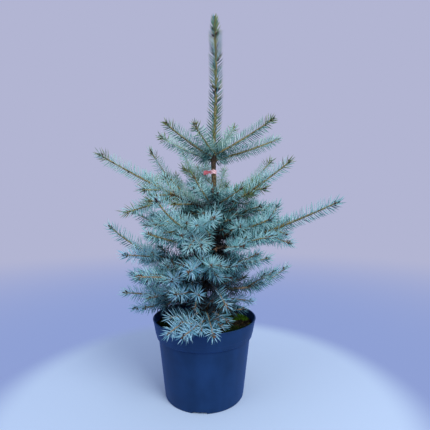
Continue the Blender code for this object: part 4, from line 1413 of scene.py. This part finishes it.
def needles_on(stem, space, chance):
    """The needles of one stem, in a spiral from its bare foot to its tip."""
    length = stem_length(stem)
    new = whorl_of(stem) == "top"
    start = first_needle(stem)
    count = int((length - start) * (NEW_NEEDLES_PER_METRE if new else NEEDLES_PER_METRE))
    width = NEW_NEEDLE_WIDTH if new else NEEDLE_WIDTH
    lean_tip = LEAN_NEW_TIP if new else LEAN_TIP
    shorter = NEW_TIP_SHORTER if new else TIP_SHORTER
    spray = sway(chance, SPRAY_VARY)
    green = GREEN_WHORLS.get(whorl_of(stem), 0.0) * (chance.random() < GREEN_SPRAYS)
    hue = hue_at(stem.end.z, chance)
    around = COMB_ANGLE / 4 if stem.end.z < COMB_LOW else 0.0
    combed = (0.0, 0.0) if stem.owner in UNCOMBED else (STAR_ZONE * new, length - STAR_ZONE)
    for i in range(count + BASE_NEEDLES * new):
        distance = start + ringed(i, chance) / count * (length - start)
        if i >= count:
            distance = chance.uniform(*BASE_ZONE)
        share = min(1.0, distance / length)
        if stem.order == 0 and not new and chance.random() > FOOT_NEEDLES + share:
            continue
        if share <= BARE_STRETCHES.get(stem[:3], 0.0):
            continue
        ahead = stem_heading(stem, share)
        around += COMB_ANGLE if combed[0] < distance < combed[1] else GOLDEN_ANGLE
        side = sideways(ahead, around + chance.gauss(0, COMB_VARY))
        over = (1 + side.z) / 2
        tip = clamp((distance - (length - TIP_ZONE)) / TIP_ZONE)
        lean = lerp(lerp(LEAN_UNDER, LEAN_OVER, over), lean_tip, tip**TIP_TURN) + chance.gauss(0, LEAN_VARY)
        size = NEEDLE_LENGTH * lerp(*UNDER_AND_OVER_SIZE, over) * (1 - shorter * tip)
        size *= 1 + chance.gauss(0, NEEDLE_VARY)

        def tint(point):
            return needle_tint(stem, share, point, over, spray, green * tip, hue, chance)

        foot = (stem_point(stem, share), stem_radius(stem, share), ahead, side)
        yield from needle_at(*foot, math.radians(lean), size, width, tint, space, chance)


def needle_at(centre, radius, ahead, side, lean, size, width, tint, space, chance):
    """A needle from a stem's skin, bent a little ahead and up, if it meets neither pot nor wood."""
    way = ahead * math.cos(lean) + side * math.sin(lean)
    root = centre + side * radius * SET_IN
    bend = ahead * NEEDLE_BEND[0] + UP * NEEDLE_BEND[1]
    bend = (bend - way * bend.dot(way)).normalized()
    curve = chance.uniform(*NEEDLE_CURVE)
    for share in NEEDLE_TESTS:
        point = root + way * size * share + bend * curve * size * share**2
        if not clear_of_pot(point, NEEDLE_WIDTH / 2) or space.touches_wood(point):
            return
    width *= chance.uniform(*NEEDLE_WIDTH_VARY)
    yield Sprig(root, way, bend, size, width, curve, tint(root + way * size))


def leader_needles(space, chance):
    """The leader's needles, in rings that point up more than the limbs' needles do."""
    rings = int((TRUNK_TIP - LEADER_NEEDLE_START) / LEADER_RING)
    for ring in range(rings):
        for degrees, grown in LEADER_ROWS:
            share = clamp((ring + LEADER_RING_AT + chance.gauss(0, RING_VARY)) / rings)
            height = lerp(LEADER_NEEDLE_START, TRUNK_TIP, share)
            tip = clamp((height - (TRUNK_TIP - LEADER_TIP_ZONE)) / LEADER_TIP_ZONE)
            if chance.random() > grown + tip:
                continue
            around = math.radians(degrees) + ring * GOLDEN_ANGLE * (tip > 0)
            if degrees % 180 == 0:
                around += LEADER_PARTING * (-1) ** ring
            side = sideways(UP, around + chance.gauss(0, LEADER_ROW_VARY))
            lean = lerp(LEAN_LEADER, LEAN_LEADER_TIP, tip**2) + chance.gauss(0, LEAN_LEADER_VARY)
            size = NEEDLE_LENGTH * lerp(*LEADER_FOOT_AND_TIP_SIZE, tip) * (1 + chance.gauss(0, LEADER_VARY))
            tint = leader_tint(tip, chance)
            foot = (trunk_point(height), trunk_radius(height), UP, side)
            width = LEADER_NEEDLE_WIDTH
            yield from needle_at(*foot, math.radians(lean), size, width, lambda point: tint, space, chance)


def side_of(stem):
    """Front for what grows on a limb that heads for the front, back for the others."""
    azimuths = {limb.name: limb.azimuth for limb in LIMBS}
    return "front" if math.sin(math.radians(azimuths.get(stem.owner, 90))) < 0 else "back"


def make_needles(stems, space):
    shape = template(leaf, sides=4, radius=0.36, waist=0.55, swell=3.0)
    tints = needle_tints()
    groups = {}
    for stem in stems:
        groups.setdefault((whorl_of(stem), side_of(stem)), []).append(stem)
    for (whorl, side), members in groups.items():
        sprigs = []
        for stem in members:
            chance = random.Random(f"{stem.owner} {stem.number} {stem.order} {stem.end.x:.4f} needles")
            sprigs += needles_on(stem, space, chance)
        nodes = sorted({"needles_" + stem.owner for stem in members if stem.owner != "inner"})
        copies(f"{whorl}_{side}_needles", shape, sprigs, tints, nodes)
    sprigs = list(leader_needles(space, random.Random("leader needles")))
    copies("leader_needles", shape, sprigs, tints, ["needles_leader"])


BUD_TINTS = (
    ("bud_dark", (40, 28, 20), 0.6),
    ("bud_brown", (68, 48, 32), 0.6),
    ("bud_tan", (104, 74, 46), 0.6),
)


def make_buds(stems):
    """A bud on each tip, a ring of them behind it, and here and there one further down."""
    chance = random.Random("buds")
    sprigs = []
    for stem in stems:
        length = stem_length(stem)
        ahead = stem_heading(stem, 1.0)
        front = stem.end.y < LIT_TAN_FRONT
        # Tan at the front is painted light.
        tint = 2 if front and chance.random() < LIT_TAN_BUDS else chance.randrange(2)
        size = lerp(*BUD_SIZES, chance.random()) * BUD_SIZE_BY_ORDER[stem.order]
        sprigs.append(bud(stem.end - ahead * BUD_SET_IN, ahead, size, tint, chance))
        for k in range(BUDS_BEHIND_TIP[stem.order]):
            share = 1 - chance.uniform(*BUD_BEHIND_TIP) / length
            angle = k * BUD_TURN + chance.random()
            sprigs.append(side_bud(stem, share, angle, size * SIDE_BUD_SIZE, tint, chance))
        for _ in range(int(length / LOW_BUD_EVERY)):
            share = chance.uniform(*LOW_BUD_ZONE)
            angle = chance.uniform(0, math.tau)
            sprigs.append(side_bud(stem, share, angle, size * LOW_BUD_SIZE, chance.randrange(2), chance))
    for height, angle in LEADER_BUDS:
        side = sideways(UP, math.pi / 2 - angle)
        foot = trunk_point(height) + side * trunk_radius(height)
        way = (side + UP * LEADER_BUD_UP).normalized()
        sprigs.append(bud(foot, way, LEADER_BUD_SIZE, chance.randrange(2), chance))
    sprigs.append(bud(trunk_point(TRUNK_TIP), UP, LEADER_TIP_BUD_SIZE, 1, chance))
    shape = template(pointed_bud, taper_from=0.5, taper=0.9, ring_turns=34, ring_depth=0.16)
    copies("buds", shape, sprigs, plain_finishes(BUD_TINTS), smooth=50)


def bud(root, ahead, size, tint, chance):
    bend = sideways(ahead, chance.uniform(0, math.tau))
    return Sprig(root, ahead, bend, BUD_LENGTH * size, BUD_WIDTH * size, 0.0, tint)


def side_bud(stem, share, angle, size, tint, chance):
    """A bud on the side of a stem, leaning ahead."""
    ahead = stem_heading(stem, share)
    side = sideways(ahead, angle)
    way = (ahead * SIDE_BUD_AHEAD + side).normalized()
    return bud(stem_point(stem, share) + side * stem_radius(stem, share) * SET_IN, way, size, tint, chance)


def make_tie():
    """A band of tape round the trunk, with its two ends pinched together and standing off it."""
    centre = trunk_point(TIE_HEIGHT)
    inner = trunk_radius(TIE_HEIGHT) + 2 * GAP

    def band_point(angle, height):
        middle = height / TIE_WIDTH - 0.5
        crease = TIE_CREASE * math.sin(TIE_CREASES * angle + TIE_CREASE_SLANT * middle)
        radius = inner + TIE_ROOM + crease + TIE_KNOT * (abs(math.cos(angle / 2)) < TIE_KNOT_SPAN)
        lift = TIE_WAVE * math.sin(TIE_WAVES * angle)
        return centre + Vector((radius * math.cos(angle), radius * math.sin(angle), height + lift))

    band = tube("tie_band", TIE_STEPS, evenly(TIE_ROWS + 1, 0.0, TIE_WIDTH), band_point, capped=False)
    shaped(band, "SOLIDIFY", thickness=TIE_FILM, offset=1.0)
    for side in (-1, 1):
        bpy.ops.mesh.primitive_grid_add(x_subdivisions=TIE_TAIL_STEPS, y_subdivisions=TIE_ROWS, size=2)
        tail = bpy.context.object
        for vert in tail.data.vertices:
            out = (1 - vert.co.x) / 2
            across = vert.co.y
            pinch = TIE_PINCH * math.sin(math.pi * min(1.0, out * TIE_PINCH_AT)) ** 2
            half = TIE_WIDTH / 2 * (1 - pinch)
            height = TIE_WIDTH / 2 + across * half - TIE_TAIL_DROOP * out**2
            curl = TIE_TAIL_CURL * math.sin(TIE_CREASES * out + across)
            aside = side * (TIE_TAIL_GAP + TIE_TAIL_SPLAY * out**2) + curl
            vert.co = centre + Vector((-inner - TIE_TAIL * out, aside, height))
        shaped(tail, "SOLIDIFY", thickness=TIE_FILM, offset=side)
        take(band)
        tail.select_set(True)
        bpy.ops.object.join()
    finished(band, "tie_band", tie_tape(), smooth=60)
    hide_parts("tie")


# What lies and grows on the soil, clear of the trunk and the wall: crumbs, bark chips, and moss in
# patches, which are richest round one place.
TRUNK_ROOM = 0.018
WALL_ROOM = 0.004
CRUMBS = 1500
CRUMB_SIZES = (0.0015, 0.0045)
CHIPS = 190
CHIP_SIZES = (0.006, 0.015)
CRUMB_TINTS = (
    ("crumb_black", (9, 8, 5), 0.95),
    ("crumb_brown", (32, 25, 14), 0.95),
    ("crumb_pale", (62, 52, 34), 0.9),
)
BLADES = 7000
BLADE_LENGTHS = (0.004, 0.009)
BLADE_WIDTH = 0.0011
BRIGHT_BLADES = 0.6
SUNNY_FROM = (0.03, -0.03)
MOSS_PATCHES_PER_METRE = 26
MOSS_SHIFT = Vector((3.1, 0.4, 0.0))
MOSS_LEAST = 0.08
RICH_PLACE = Vector((0.085, 0.035, 0.175))
RICH_RADIUS = 0.045
RICH_GAIN = 0.55
MOSS_TINTS = (
    ("moss_dark", (16, 30, 6), 0.8),
    ("moss_green", (32, 54, 10), 0.8),
    ("moss_bright", (66, 106, 16), 0.8),
)


def on_soil(chance, most=0.98):
    """A random place on the soil, out to a share of its radius."""
    while True:
        radius = math.sqrt(chance.random()) * soil_edge() * most
        if radius > TRUNK_ROOM:
            break
    angle = chance.uniform(0, math.tau)
    x, y = radius * math.cos(angle), radius * math.sin(angle)
    level = soil_top(x, y) + soil_grain(x, y) if radius < soil_edge() - WALL_ROOM else SOIL_EDGE_HEIGHT
    return Vector((x, y, level))


def leaning(chance, tilt, rise):
    """A random way that is more or less upwards."""
    return Vector((chance.gauss(0, tilt), chance.gauss(0, tilt), rise)).normalized()


def soil_crumb(chance):
    ahead = leaning(chance, tilt=1, rise=1.2)
    size = chance.uniform(*CRUMB_SIZES)
    place = on_soil(chance)
    bend = sideways(ahead, chance.uniform(0, 6))
    return Sprig(place, ahead, bend, length=size, width=size, curve=0.1, tint=chance.randrange(3))


def bark_chip(chance):
    angle = chance.uniform(0, math.tau)
    ahead = Vector((math.cos(angle), math.sin(angle), chance.uniform(-0.1, 0.3))).normalized()
    size = chance.uniform(*CHIP_SIZES)
    place = on_soil(chance, most=0.88) + UP * 0.001
    bend = sideways(ahead, chance.gauss(0, 0.4))
    return Sprig(place, ahead, bend, length=size, width=size / 2, curve=0.03, tint=chance.randrange(3))


def moss_at(place):
    """How thick the moss is at a place."""
    patch = noise.noise(place * MOSS_PATCHES_PER_METRE + MOSS_SHIFT)
    return patch + RICH_GAIN * max(0.0, 1 - (place - RICH_PLACE).length / RICH_RADIUS)


def moss_blade(place, chance):
    ahead = leaning(chance, tilt=0.5, rise=1.0)
    sunny = place.x > SUNNY_FROM[0] and place.y > SUNNY_FROM[1]
    tint = 2 if sunny and chance.random() < BRIGHT_BLADES else chance.randrange(2)
    bend = sideways(ahead, chance.uniform(0, 6))
    length = chance.uniform(*BLADE_LENGTHS)
    return Sprig(place - ahead * 0.001, ahead, bend, length, BLADE_WIDTH, curve=0.3, tint=tint)


def make_litter():
    """Crumbs and bark chips on the soil, and moss in patches."""
    chance = random.Random("litter")
    tints = plain_finishes(CRUMB_TINTS, Specular_IOR_Level=0.1)
    crumbs = [soil_crumb(chance) for _ in range(CRUMBS)]
    copies("soil_crumbs", template(crumb), crumbs, tints, smooth=20)
    chips = [bark_chip(chance) for _ in range(CHIPS)]
    shape = template(splinter, broad=0.5, thick=0.16)
    copies("bark_chips", shape, chips, tints, smooth=20)
    blades = []
    while len(blades) < BLADES:
        place = on_soil(chance, most=0.96)
        if moss_at(place) >= MOSS_LEAST:
            blades.append(moss_blade(place, chance))
    greens = plain_finishes(MOSS_TINTS, Specular_IOR_Level=0.1)
    shape = template(leaf, sides=3, radius=0.5, waist=0.5, swell=1.6)
    copies("moss", shape, blades, greens, smooth=60)


def main():
    deselect()
    make_camera()
    make_stage()
    make_studio()
    make_pot()
    make_soil()
    make_litter()
    make_trunk()
    make_tie()
    stems, space = grow()
    make_wood(stems)
    make_needles(stems, space)
    make_buds(stems)


main()
